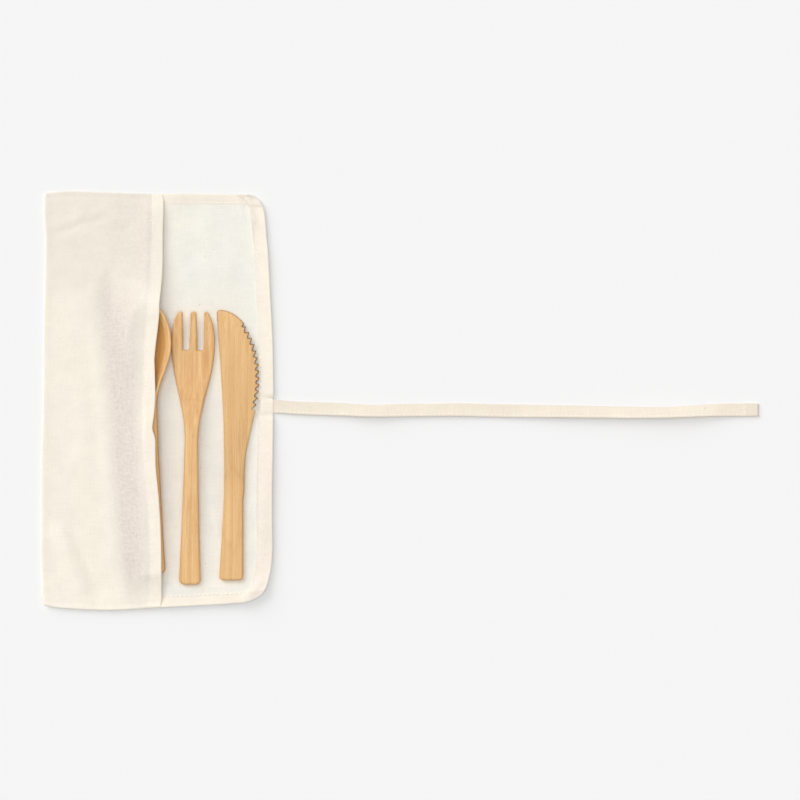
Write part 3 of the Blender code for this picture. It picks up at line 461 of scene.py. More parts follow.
def heights(node, from_above, x, y):
    """Heights of a CAD node's top or underside at a grid of places, NaN beside it."""
    tree = BVHTree.FromObject(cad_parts[node], bpy.context.evaluated_depsgraph_get())
    start, way = (0.05, -1) if from_above else (-0.05, 1)
    hits = [tree.ray_cast(Vector((a * MM, b * MM, start)), Vector((0, 0, way)))[0]
            for a, b in zip(x.ravel(), y.ravel())]
    found = [math.nan if hit is None else hit.z / MM for hit in hits]
    return np.array(found).reshape(x.shape)


def crease(x, y, ends, height, width):
    """A soft ridge or valley in the cloth between two places, in millimetres."""
    x0, y0, x1, y1 = ends
    length = math.hypot(x1 - x0, y1 - y0)
    along = ((x - x0) * (x1 - x0) + (y - y0) * (y1 - y0)) / length ** 2
    off = ((x - x0) * (y1 - y0) - (y - y0) * (x1 - x0)) / length
    fade = np.exp(-np.maximum(0.0, np.abs(along - 0.5) - 0.3) ** 2 / 0.035)
    return height * np.exp(-(off / width) ** 2) * fade


def crumple(x, y, size, seed):
    """Smooth random waves of about a given size, from -1 to 1."""
    flat = [noise.noise(Vector((a / size, b / size, seed))) for a, b in zip(x.ravel(), y.ravel())]
    return np.array(flat).reshape(x.shape)


def soften(z, times):
    """Average each point a little with its neighbours."""
    for _ in range(times):
        padded = np.pad(z, 1, mode="edge")
        around = padded[:-2, 1:-1] + padded[2:, 1:-1] + padded[1:-1, :-2] + padded[1:-1, 2:]
        z = 0.5 * z + 0.125 * around
    return z


# Rows run up the pouch, closer together at its ends
end_rows = np.array(END_ROWS)
middle_rows = np.linspace(-POUCH_HALF + END_ROWS[-1], POUCH_HALF - END_ROWS[-1], MAIN_ROWS + 1)
row_y = np.concatenate([end_rows[:-1] - POUCH_HALF, middle_rows,
                        (POUCH_HALF - end_rows[:-1])[::-1]])
row_count = len(row_y)
fold_x = trace(FOLD_EDGE, row_y, 6)
mouth_x = trace(MOUTH_EDGE, row_y, 2.0) - TURN_REACH
mouth_hem_x = trace(MOUTH_EDGE, row_y, 16.0) - TURN_REACH
flap_x = trace(FLAP_EDGE, row_y, 0.4) - TURN_REACH
mouth_hem = np.array(MOUTH_HEM)[None, :]
hem_share = np.interp(row_y, (-60.0, 90.0), (1.0, SIDE_HEM_AT_TOP_SHARE))
side_hem = np.array(SIDE_HEM)[None, :] * hem_share[:, None]
# The stitched inner edge of the mouth's hem runs straighter than its soft outer edge
mouth_cols = (mouth_x[:, None] - mouth_hem
              + (mouth_hem_x - mouth_x)[:, None] * mouth_hem / MOUTH_HEM[-1])

front_share = np.linspace(0, 1, FRONT_COLUMNS + 1)[None, :]
front_x = fold_x[:, None] + 1.0 + (mouth_cols[:, -1:] - fold_x[:, None] - 1.0) * front_share
front_x = np.concatenate([front_x, mouth_cols[:, -2::-1]], axis=1)
flap_share = np.linspace(0, 1, FLAP_COLUMNS + 1)[None, 1:]
flap_cols = mouth_x[:, None] + (flap_x[:, None] - side_hem[:, -1:] - mouth_x[:, None]) * flap_share
flap_cols = np.concatenate([flap_cols, flap_x[:, None] - side_hem[:, -2::-1]], axis=1)
front_count = front_x.shape[1]
back_x = np.concatenate([front_x, flap_cols], axis=1)


def place_y(x):
    """Y of each point, the ends of the pouch bowed as they really lie."""
    y = np.repeat(row_y[:, None], x.shape[1], axis=1)
    top = trace(TOP_EDGE, x, 3) - TURN_REACH - POUCH_HALF
    bottom = trace(BOTTOM_EDGE, x, 3) + TURN_REACH + POUCH_HALF
    upper = np.clip(y / POUCH_HALF, 0, 1) ** 2
    lower = np.clip(-y / POUCH_HALF, 0, 1) ** 2
    return y + top * upper + bottom * lower


front_y = place_y(front_x)
back_y = place_y(back_x)

# The back and the flap lie on the table in low waves, pressed down by the cutlery
LOWEST_WAVE = -0.2
FLAP_LOFT = 1.0
FLAT_UNDER_POCKET = 0.75
# How far in from the flap's side and from the ends the stiff hems lift the cloth
SIDE_LIFT_REACH = 12
END_LIFT_REACH = 10
# How far below a piece the cloth stays, before and after it is softened, how far it may then
# rise beside the piece, and the height noted where nothing presses it
PRESSED_UNDER = 0.3
SOFTENED_UNDER = 0.15
RISE_BESIDE = 0.2
UNCOVERED = 99.0
tie_y = TIE_EXIT[1] / MM
from_edge = flap_x[:, None] - back_x
from_end = POUCH_HALF - np.abs(row_y)[:, None]
waves = 0.75 * crumple(back_x, back_y * 0.6, 34, 1.3)
waves += 0.30 * crumple(back_x, back_y * 0.8, 14, 4.1)
waves += 0.10 * crumple(back_x, back_y, 6.0, 9.2)
back_z = 0.30 + np.maximum(waves, LOWEST_WAVE) - LOWEST_WAVE
for ends, height, width in (
        ((28, 128, 58, 96), 0.9, 7), ((44, 140, 72, 112), -0.5, 6), ((10, 120, 24, 84), 0.5, 5),
        ((39, -66, 45, -96), 0.8, 2.2), ((38, -40, 43, -72), 0.5, 2.0),
        ((79, -60, 77, -120), 0.5, 3.0), ((66, 150, 72, 128), 1.5, 2.2),
        ((72, 149, 62, 138), -0.7, 1.8), ((60, 151, 64, 133), 0.9, 1.7),
        ((64, -148, 77, -132), 1.3, 2.4), ((70, -149, 80, -140), -0.6, 1.8)):
    back_z += crease(back_x, back_y, ends, height, width)
under_pocket = np.clip((mouth_x[:, None] - back_x) / 6, 0, 1)
back_z = np.maximum(back_z, 0.0) * (1 - FLAT_UNDER_POCKET * under_pocket)
pressed = np.full_like(back_z, UNCOVERED)
for node in ("spoon", "fork", "knife"):
    pressed = np.fmin(pressed, heights(node, False, back_x, back_y) - PRESSED_UNDER)
# Beside each handle the cloth bulges on the right, and slopes down to the next piece
loft = np.full_like(back_z, 0.6)
for j in range(row_count):
    ends_at, starts_at = mouth_x[j] - 1.0, []
    covered = pressed[j] < UNCOVERED
    for i in range(back_x.shape[1]):
        if covered[i]:
            for k in starts_at:
                loft[j, k] = (back_x[j, i] - back_x[j, k]) / max(back_x[j, i] - ends_at, 1.0)
            starts_at = []
            ends_at = back_x[j, i]
        elif back_x[j, i] > ends_at:
            starts_at.append(i)
on_flap = np.clip((back_x - mouth_x[:, None]) / 6, 0, 1) * np.interp(back_y, (0, 25), (1.0, 0.0))
# The stiffer end hem holds the cloth up close to the handles' ends
loft += 1.2 * np.exp(-((back_y + 138) / 5) ** 2) * (pressed == UNCOVERED)
back_z += FLAP_LOFT * on_flap * soften(loft, 3)
lifted = np.clip((SIDE_LIFT_REACH - from_edge) / SIDE_LIFT_REACH, 0, 1) ** 1.3 * (back_x > 20)
edge_lift = np.interp(row_y, (-150, -135, -50, 40), (0.8, 1.7, 1.7, 2.0))[:, None]
back_z += lifted * (edge_lift + 0.4 * crumple(back_x * 0.1, back_y, 30, 6.6))
end_lift = np.where(row_y < 0, 2.1, 0.0)[:, None] + 0.3 * crumple(back_x, back_y * 0.1, 24, 2.2)
back_z += np.clip((END_LIFT_REACH - from_end) / END_LIFT_REACH, 0, 1) ** 1.4 * end_lift
# The cloth lies flat under the tie
tie_half = TIE_WIDTH / MM / 2
at_tie = (np.clip((tie_half + 3.5 - np.abs(back_y - tie_y)) / 2.5, 0, 1)
          * np.clip((14 - from_edge) / 3, 0, 1))
back_z *= 1 - at_tie
back_z += BACK_Z / MM
# Each piece keeps a narrow dark gap on its right
to_the_right = np.pad(pressed, ((0, 0), (1, 0)), constant_values=UNCOVERED)[:, :-1]
back_z = np.minimum(back_z, np.minimum(pressed, to_the_right))
back_z = soften(back_z, 2)
# After softening, the cloth still stays below each piece and near that height beside it
beside = np.minimum.reduce([np.roll(pressed, step, axis) for step in (-1, 1) for axis in (0, 1)])
back_z = np.minimum(np.minimum(back_z, pressed - SOFTENED_UNDER), beside + RISE_BESIDE)
back_z = np.maximum(back_z, BACK_Z / MM)

# The front hangs like a slack cloth over the spoon: it rests on whatever is below it, with
# this much room
OVER_BACK = 0.15
OVER_SPOON = 0.35
spoon_top = heights("spoon", True, front_x, front_y)
front_low = back_z[:, :front_count] + CLOTH / MM + OVER_BACK
in_hem = np.arange(front_count)[None, :] >= front_count - len(MOUTH_HEM) - 1
hem_lining = in_hem * (CLOTH + HEM_GAP) / MM
rest_on = np.where(np.isnan(spoon_top), front_low + hem_lining,
                   spoon_top + CLOTH / MM / 2 + OVER_SPOON + hem_lining)
# The spoon's bowl holds the mouth open some way above its tip
held_open = np.interp(row_y, (60, 64, 70, 76, 84, 92, 105, 125, 138, 146, 150.7),
                      (0, 10.5, 9.5, 8.2, 6.9, 5.9, 5.1, 4.7, 3.7, 2.3, 0.8))
rest_on = np.maximum(rest_on, in_hem * held_open[:, None])
# The stiff hem stands off the spoon's handle
off_handle = np.interp(row_y, (-146, -134, -120, -25, -5), (0.0, 1.4, 1.9, 1.9, 0.0))
rest_on += in_hem * off_handle[:, None]
# The stiff hem hardly droops from the spoon's near side to the cloth's edge
HEM_DROOP = 0.015
rest_on = np.maximum.accumulate(rest_on + HEM_DROOP * front_x, axis=1) - HEM_DROOP * front_x
# Cloth can't follow a sharp step, so each place is held as high as the highest next to it
padded = np.pad(rest_on, 1, mode="edge")
neighbours = [padded[a:a + row_count, b:b + front_count] for a in range(3) for b in range(3)]
rest_on = np.max(neighbours, axis=0)

# The cloth's own pull downwards, the steps in which it comes to rest, and how far above the
# back the fold and the sewn ends hold it
GRAVITY = 0.016
HANGING_STEPS = 2500
FOLD_RISE = 1.4
SEWN_RISE = 0.62
front_z = rest_on.copy()
gap_left = np.diff(front_x, axis=1, prepend=2 * front_x[:, :1] - front_x[:, 1:2])
gap_right = np.diff(front_x, axis=1, append=front_x[:, -1:] + 1.0)
gap_down = np.diff(row_y, prepend=row_y[0] - 1.0)[:, None]
gap_up = np.diff(row_y, append=row_y[-1] + 1.0)[:, None]
pull_left = 2 / (gap_left * (gap_left + gap_right))
pull_right = 2 / (gap_right * (gap_left + gap_right))
pull_down = 2 / (gap_down * (gap_down + gap_up))
pull_up = 2 / (gap_up * (gap_down + gap_up))
pull_right[:, -1] = 0.0
total_pull = pull_left + pull_right + pull_down + pull_up
fold_height = back_z[:, 0] + FOLD_RISE
sewn_height = {end: back_z[end, :front_count] + SEWN_RISE for end in (0, -1)}
for _ in range(HANGING_STEPS):
    padded = np.pad(front_z, 1, mode="edge")
    pulled = (pull_left * padded[1:-1, :-2] + pull_right * padded[1:-1, 2:]
              + pull_down * padded[:-2, 1:-1] + pull_up * padded[2:, 1:-1] - GRAVITY) / total_pull
    front_z = np.maximum(pulled, rest_on)
    front_z[:, 0] = fold_height
    front_z[0], front_z[-1] = sewn_height[0], sewn_height[-1]

# It is slack, so it lies in waves and creases, but not where it is sewn or folded
slack = np.clip(from_end / 14, 0, 1) * np.clip((front_x - fold_x[:, None]) / 9, 0, 1)
front_waves = 0.55 * crumple(front_x, front_y * 0.55, 26, 12.5)
front_waves += 0.22 * crumple(front_x, front_y, 11, 15.5)
front_waves += 0.07 * crumple(front_x, front_y, 5, 18.5) + 0.35
creases = np.zeros_like(front_x)
for ends, height, width in (
        ((-76, 122, -36, 135), -0.5, 2.0), ((-60, 127, -46, 141), -0.4, 1.7),
        ((-76, 127, -40, 140), 0.4, 2.6), ((-80, 132, -62, 116), 0.8, 4.0),
        ((-40, 146, -24, 128), 0.6, 3.0), ((-75, -90, -50, -150), 1.9, 6.5),
        ((-62, -92, -40, -146), -0.7, 5.0), ((-80, -132, -70, -150), 0.6, 3.0),
        ((-18, -118, -10, -150), -0.7, 2.2), ((-26, -112, -22, -150), 0.8, 3.0),
        ((-60, 20, -50, -60), 0.5, 6.0)):
    creases += crease(front_x, front_y, ends, height, width)
front_z += slack * (np.maximum(front_waves, 0.0) + creases)
front_z = np.maximum(soften(front_z, 2), front_low)
# What holds it up high does so after softening too
HELD_UP = 3.0
SUNK_BY = 0.15
front_z = np.maximum(front_z, np.where(rest_on > HELD_UP, rest_on - SUNK_BY, 0.0))
front_z[:, 0] = fold_height
# The seams across the pocket's ends draw it down a little
END_SEAM = 3.2
END_SEAM_WIDTH = 1.1
END_SEAM_DIP = 0.2
seam_dip = np.exp(-((from_end - END_SEAM) / END_SEAM_WIDTH) ** 2) * END_SEAM_DIP
front_z = np.maximum(front_z - seam_dip, front_low)
front_z[0], front_z[-1] = sewn_height[0], sewn_height[-1]

# The stitches run this far in from the cloth's edges, and the hems pucker a little along them
SIDE_STITCH = 9.0
MOUTH_STITCH = 7.3
STITCH_DIP = 0.12
pucker = 0.16 * crumple(back_x * 0.2, back_y, 4.2, 21.0)
in_side_hem = (from_edge < side_hem[:, -1:] + 0.2) & (back_x > 30)
back_z = np.where(in_side_hem, np.maximum(back_z + pucker * 0.6, BACK_Z / MM), back_z)

# Layers of the cloth as one net of points
bm = bmesh.new()
uv_layer = bm.loops.layers.uv.new("cloth")
doubled_values, painted_shade_values, cloth_u, cloth_v = [], [], [], []


def add_layer(x, y, z, u, v, doubled, painted_shade):
    """One grid of points, with what the material reads at each."""
    grid = []
    for j in range(x.shape[0]):
        row = []
        for i in range(x.shape[1]):
            row.append(bm.verts.new((x[j, i] * MM, y[j, i] * MM, z[j, i] * MM)))
            doubled_values.append(doubled[j, i])
            painted_shade_values.append(painted_shade[j, i])
            cloth_u.append(u[j, i] * MM)
            cloth_v.append(v[j, i] * MM)
        grid.append(row)
    return grid


def join(lower, upper):
    """Faces between two rows of points."""
    for a, b, c, d in zip(lower, lower[1:], upper[1:], upper):
        bm.faces.new((a, b, c, d))


def join_all(grid):
    """Faces between all the rows of a grid of points."""
    for lower, upper in zip(grid, grid[1:]):
        join(lower, upper)


pocket_width = float(np.mean(mouth_x - fold_x))
# How much cloth the fold of a hem takes up, and how far its turn reaches out
HEM_FOLD = 1.2
MOUTH_TURN = 0.28
HEM_TURN = 0.30
layer_up = (CLOTH + HEM_GAP) / MM
# The front is off the back from the spoon to some 35 mm left of it. Painted shade there stands
# for the shaded gap below showing through the cloth
painted_shade_left = np.interp(front_y, (-150, -120, -60, 0, 45, 75, 120),
                        (-28, -35, -39, -43, -49, -51, -50))
painted_shade_end = np.clip((118 - front_y) / 48, 0, 1) * np.clip((front_y + 156) / 30, 0, 1)
front_painted_shade = np.clip((front_x - painted_shade_left) / 12, 0, 1) * painted_shade_end
# The painted shade narrows above the spoon, is lighter over the bowl where the warm wood
# shows through, and fades to the hem
above_spoon = np.clip((front_y - 60) / 15, 0, 1)
front_painted_shade *= 1 - above_spoon * (1 - np.clip((-26 - front_x) / 10, 0.6, 1))
front_painted_shade *= 1 - 0.45 * np.exp(-((front_x + 14) / 7) ** 2 - ((front_y - 50) / 22) ** 2)
front_painted_shade *= 0.35 + 0.65 * np.clip((mouth_cols[:, -1:] - front_x) / 8, 0, 1)
# Near the top, where the mouth is held open, the front takes painted shade too
painted_shade_near_top = np.interp(front_x, (-40, -12), (0.3, 0.65)) * np.clip((front_y - 72) / 20, 0, 1)
front_painted_shade = np.maximum(front_painted_shade, painted_shade_near_top)
front_u = front_x - mouth_x[:, None]
front_doubled = np.full_like(front_x, 0.5)
front_doubled[:, -len(MOUTH_HEM) + 1:] = np.interp(row_y, (60, 95), (1.0, 0.6))[:, None]
front_doubled[:, -len(MOUTH_HEM)] = 0.8
front_painted_shade[:, -len(MOUTH_HEM) + 1:] *= 0.12
front = add_layer(front_x, front_y, front_z, front_u, front_y, front_doubled, front_painted_shade)

# The mouth's hem, turned to the inside
mouth_inwards = slice(None, -len(MOUTH_HEM) - 1, -1)
lining_x = front_x[:, mouth_inwards]
lining_y = front_y[:, mouth_inwards]
lining_z = np.maximum(front_z[:, mouth_inwards] - layer_up, front_low[:, mouth_inwards] - 0.05)
lining_u = mouth_hem + HEM_FOLD + 0 * lining_x
ones = np.ones_like(lining_x)
mouth_turn = add_layer(front_x[:, -1:] + MOUTH_TURN, front_y[:, -1:],
                       front_z[:, -1:] - layer_up / 2, front_u[:, -1:] + 0.5, front_y[:, -1:],
                       ones[:, :1], 0 * ones[:, :1])
lining = add_layer(lining_x, lining_y, lining_z, lining_u, lining_y, ones, 0 * ones)

back_u = -pocket_width - (back_x - fold_x[:, None]) - 3
back_doubled = np.where(back_x < mouth_x[:, None], 0.5, 0.0)
back = add_layer(back_x, back_y, back_z, back_u, back_y, back_doubled, 0 * back_x)

# The fold at the left, rounded in a few steps and squeezed flat at its sewn ends
FOLD_STEPS = 5
FOLD_BULGE = 0.8
fold_turn = []
turn_angles = [math.pi * k / (FOLD_STEPS + 1) for k in range(1, FOLD_STEPS + 1)]
for j in range(row_count):
    top, low = front_z[j, 0], back_z[j, 0]
    middle, radius = (top + low) / 2, (top - low) / 2
    squeeze = min(1.0, max(0.25, (POUCH_HALF - abs(row_y[j])) / 4))
    fold_turn.append([(front_x[j, 0] - FOLD_BULGE * squeeze * math.sin(angle),
                       middle + radius * math.cos(angle)) for angle in turn_angles])
fold_points = np.array(fold_turn)
steps_round = np.arange(1, FOLD_STEPS + 1)[None, :] * 0.5 + 0 * fold_points[:, :, 0]
fold_y = np.repeat(front_y[:, :1], FOLD_STEPS, axis=1)
fold = add_layer(fold_points[:, :, 0], fold_y, fold_points[:, :, 1], -pocket_width - steps_round,
                 fold_y, 0.5 + 0 * fold_y, 0 * fold_y)

# The flap's side hem, turned over onto the flap and round the end of the tie
edge_inwards = slice(None, -len(SIDE_HEM) - 1, -1)
hem_x = back_x[:, edge_inwards]
hem_y = back_y[:, edge_inwards]
hem_base = back_z[:, edge_inwards]
end_hem_width = np.where(row_y < 0, END_ROWS[BOTTOM_HEM_LAST_ROW],
                         END_ROWS[TOP_HEM_LAST_ROW])[:, None]
over_ends = np.clip((end_hem_width + 1.2 - from_end) / 1.2, 0, 1)
over_tie = np.clip((tie_half + 1.4 - np.abs(hem_y - tie_y)) / 1.2, 0, 1)
over_tie *= np.clip((TIE_IN_HEM / MM + 0.8 - from_edge[:, edge_inwards]) / 1.2, 0, 1)
# It lies over the end hems at its ends, and over the tie
hem_lift = layer_up * (1 + 2.0 * over_ends)
hem_z = hem_base + hem_lift
tie_top = TIE_EXIT[2] / MM + TIE_THICKNESS / MM / 2 + CLOTH / MM / 2 + 0.12
hem_z = np.maximum(hem_z, tie_top * over_tie)
# Its inner edge stands up a little, most of all near its top, and dips along the stitches
stand_up = np.exp(-((hem_y - 128) / 16) ** 2) + 0.5 * np.exp(-((hem_y + 60) / 30) ** 2)
inner_edge = (np.arange(len(SIDE_HEM)) / (len(SIDE_HEM) - 1.0))[None, :] ** 6
hem_z = hem_z + inner_edge * (0.25 + 0.9 * stand_up) * (1 - over_tie)
stitched = np.exp(-((side_hem - SIDE_STITCH * hem_share[:, None]) / 0.8) ** 2)
hem_z = hem_z - STITCH_DIP * stitched + 0.10 * crumple(hem_x * 0.3, hem_y, 3.6, 31.0)
hem_u = back_u[:, -1:] - side_hem - HEM_FOLD
ones = np.ones_like(hem_x)
turn_z = (back_z[:, -1:] + hem_z[:, :1]) / 2
edge_turn = add_layer(back_x[:, -1:] + HEM_TURN, back_y[:, -1:], turn_z,
                      back_u[:, -1:] - 0.5, back_y[:, -1:], ones[:, :1], 0 * ones[:, :1])
# The side hem is drawn a little towards the same darker colour, more low down
side_hem_grid = add_layer(hem_x, hem_y, hem_z, hem_u, hem_y, ones,
                          np.interp(hem_y, (-60, 20), (0.4, 0.2)))

# The flap's end hems, turned over onto the flap and under the side hem
flap_from = front_count - 1
end_hems = []
for end in (0, -1):
    last = BOTTOM_HEM_LAST_ROW if end == 0 else TOP_HEM_LAST_ROW
    picked = [k if end == 0 else row_count - 1 - k for k in range(last + 1)]
    outwards = -1 if end == 0 else 1
    xs, ys, zs, us, inwards = (
        values[picked][:, flap_from:] for values in (back_x, back_y, back_z, back_u, from_edge))
    shares = (np.arange(len(picked)) / (len(picked) - 1.0))[:, None]
    under_side = np.clip(side_hem[picked][:, -1:] + 1.0 - inwards, 0, 1)
    up = zs + layer_up - shares ** 4 * 0.34 * (1 - under_side)
    up += 0.10 * crumple(xs, ys * 0.3, 3.6, 41.0 + end) * (1 - under_side)
    up -= STITCH_DIP * np.exp(-((shares - 0.82) / 0.12) ** 2) * (1 - under_side)
    vs = ys[:1] + outwards * (HEM_FOLD + np.abs(ys - ys[:1]))
    ones = np.ones_like(xs)
    turn = add_layer(xs[:1], ys[:1] + outwards * HEM_TURN, (zs[:1] + up[:1]) / 2,
                     us[:1], ys[:1] + outwards * 0.5, ones[:1], 0 * ones[:1])
    # The end hems are drawn a little towards that darker colour too
    grid = add_layer(xs, ys, up, us, vs, 0.85 * ones, 0.2 * ones)
    end_hems.append((end, turn, grid))

for grid in (front, back, lining, side_hem_grid):
    join_all(grid)
mouth_strips = [[a[-1], b[0], c[0]] for a, b, c in zip(front, mouth_turn, lining)]
fold_strips = [[a[0], *b, c[0]] for a, b, c in zip(front, fold, back)]
edge_strips = [[a[-1], b[0], c[0]] for a, b, c in zip(back, edge_turn, side_hem_grid)]
for j in range(row_count - 1):
    for strips in (mouth_strips, fold_strips, edge_strips):
        join(strips[j], strips[j + 1])
for end, turn, grid in end_hems:
    join(back[end][flap_from:], turn[0])
    join(turn[0], grid[0])
    join_all(grid)
# The pocket's sewn and turned ends
for end, outwards in ((0, -1), (-1, 1)):
    xs, ys = front_x[end:][:1], front_y[end:][:1]
    middle = (front_z[end] + back_z[end, :front_count]) / 2
    turn = add_layer(xs, ys + outwards * MOUTH_TURN, middle[None, :], front_u[end:][:1],
                     ys + outwards * 0.5, 0 * xs + 0.7, 0 * xs)
    join(front[end], turn[0])
    join(turn[0], back[end][:front_count])
    bm.faces.new([front[end][0]] + fold[end] + [back[end][0], turn[0][0]])

bm.verts.index_update()
for face in bm.faces:
    for loop in face.loops:
        k = loop.vert.index
        loop[uv_layer].uv = (cloth_u[k], cloth_v[k])
bmesh.ops.recalc_face_normals(bm, faces=bm.faces[:])
pouch = new_piece("pouch_cloth", bm)
set_cloth_data(pouch, doubled_values, painted_shade_values)


CUT_EDGE_DEGREES = 60


def sharpen_cut_edges(piece):
    """Keep the cloth's cut edges crisp, while its folds stay smoothly shaded."""
    bm = bmesh.new()
    bm.from_mesh(piece.data)
    for edge in bm.edges:
        if len(edge.link_faces) == 2 and edge.calc_face_angle() > math.radians(CUT_EDGE_DEGREES):
            edge.smooth = False
    bm.to_mesh(piece.data)
    bm.free()


def apply_modifiers(piece):
    """Make a piece's modifiers part of its mesh."""
    bpy.ops.object.select_all(action="DESELECT")
    piece.select_set(True)
    bpy.context.view_layer.objects.active = piece
    for modifier in list(piece.modifiers):
        bpy.ops.object.modifier_apply(modifier=modifier.name)


thickness = pouch.modifiers.new("thickness of the cloth", "SOLIDIFY")
thickness.thickness = CLOTH
thickness.offset = 0.0
apply_modifiers(pouch)
sharpen_cut_edges(pouch)
pouch.data.materials.append(
    woven_cotton("unbleached_muslin", "F4F1E8", "F7F0E2", "FFF5E6", "DDD1C8"))
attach(pouch, "root")
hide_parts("pouch")


# Sewing thread
# White cotton thread in single stitches, one every 3 mm: along the hems, along one side of
# the tie and across its turned end.

STITCH_PITCH = 3.2 * MM
STITCH_LENGTH = 2.2 * MM
STITCH_WIDTH = 0.7 * MM

bpy.ops.object.select_all(action="DESELECT")
bpy.ops.mesh.primitive_uv_sphere_add(segments=8, ring_count=6, radius=0.5)
stitch = bpy.context.object
stitch.rotation_euler = (0.0, math.radians(90), 0.0)
bpy.ops.object.transform_apply(rotation=True)
stitch.scale = (STITCH_LENGTH, STITCH_WIDTH, STITCH_WIDTH * 0.7)
bpy.ops.object.transform_apply(scale=True)
stitch_mesh = stitch.data
bpy.data.objects.remove(stitch)


def sew(name, lines):
    """Single stitches along lines of points, each sunk a little into the cloth.

    Each line comes with how thick its stitches stand out.
    """
    bm = bmesh.new()
    for line, thick in lines:
        gaps = [(b - a).length for a, b in zip(line, line[1:])]
        count = max(1, int(sum(gaps) / STITCH_PITCH))
        reach = np.concatenate([[0.0], np.cumsum(gaps)])
        for k in range(count):
            centre = (k + 0.5) * sum(gaps) / count
            ends = [Vector([np.interp(at, reach, along) for along in zip(*line)])
                    for at in (centre - STITCH_LENGTH / 2, centre + STITCH_LENGTH / 2)]
            way = (ends[1] - ends[0]).normalized()
            turn = way.to_track_quat("X", "Z").to_matrix().to_4x4()
            first = len(bm.verts)
            bm.from_mesh(stitch_mesh)
            bm.verts.ensure_lookup_table()
            bmesh.ops.transform(bm, verts=bm.verts[first:],
                                matrix=Matrix.Translation((ends[0] + ends[1]) / 2) @ turn
                                @ Matrix.Diagonal((1.0, thick, thick, 1.0)))
    return new_piece(name, bm)


THREAD_ABOVE = CLOTH / 2 + 0.04 * MM


def on_layer(x, y, z):
    """Points where thread lies on top of a layer of cloth."""
    return [Vector((a * MM, b * MM, c * MM + THREAD_ABOVE)) for a, b, c in zip(x, y, z)]


rows_in = slice(3, row_count - 3)
side_column = SIDE_HEM.index(SIDE_STITCH)
side_line = on_layer(*(grid[rows_in, side_column] for grid in (hem_x, hem_y, hem_z)))
mouth_column = front_count - 1 - MOUTH_HEM.index(MOUTH_STITCH)
mouth_line = on_layer(*(grid[rows_in, mouth_column] for grid in (front_x, front_y, front_z)))
pouch_lines = [(side_line, 0.8), (mouth_line, 0.7)]
for j in (BOTTOM_HEM_LAST_ROW - 1, row_count - TOP_HEM_LAST_ROW):
    last = back_x.shape[1] - len(SIDE_HEM)
    end_line = on_layer(back_x[j, flap_from + 2:last], back_y[j, flap_from + 2:last],
                        back_z[j, flap_from + 2:last] + layer_up - 0.25)
    pouch_lines.append((end_line, 1.5 if j < row_count / 2 else 1.0))

thread, tree, shader = new_material("white_cotton_thread")
# Twisted thread catches the light along its twist. Its plies are really 0.4 mm apart, and are
# drawn 1.6 mm apart so that they still show.
coords = add_node(tree, "TexCoord")
twist = add_node(tree, "TexWave", {"Vector": coords.outputs["Object"], "Scale": 400.0,
                                   "Distortion": 0.6}, bands_direction="DIAGONAL")
colour = add_node(tree, "Mix", {0: twist.outputs["Fac"], 6: linear("F8F4EC"), 7: linear("FEFCF9")},
                  data_type="RGBA")
tree.links.new(colour.outputs[2], shader.inputs["Base Color"])
bump = add_node(tree, "Bump", {"Strength": 0.4, "Distance": 0.1 * MM,
                               "Height": twist.outputs["Fac"]})
tree.links.new(bump.outputs[0], shader.inputs["Normal"])
shader.inputs["Roughness"].default_value = 0.75

pouch_stitches = sew("pouch_stitches", pouch_lines)
pouch_stitches.data.materials.append(thread)
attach(pouch_stitches, "root")
tie_stitches = sew("tie_stitches", [(tie_seam[TIE_SEAM_SEEN], 0.8), (tie_end_seam, 1.0)])
tie_stitches.data.materials.append(thread)
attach(tie_stitches, "root")


# Cutlery
# Spoon, fork and knife are each sawn from one piece of bamboo, sanded round and lightly
# oiled: pale gold, with fine long fibres, short brown dashes and a darker ring where the
# cane had a joint.

VOXEL = {"spoon": 0.5 * MM, "fork": 0.5 * MM, "knife": 0.37 * MM}
SANDING_PASSES = {"spoon": 8, "fork": 5, "knife": 1}
GRAIN_WANDER = 4.0 * MM


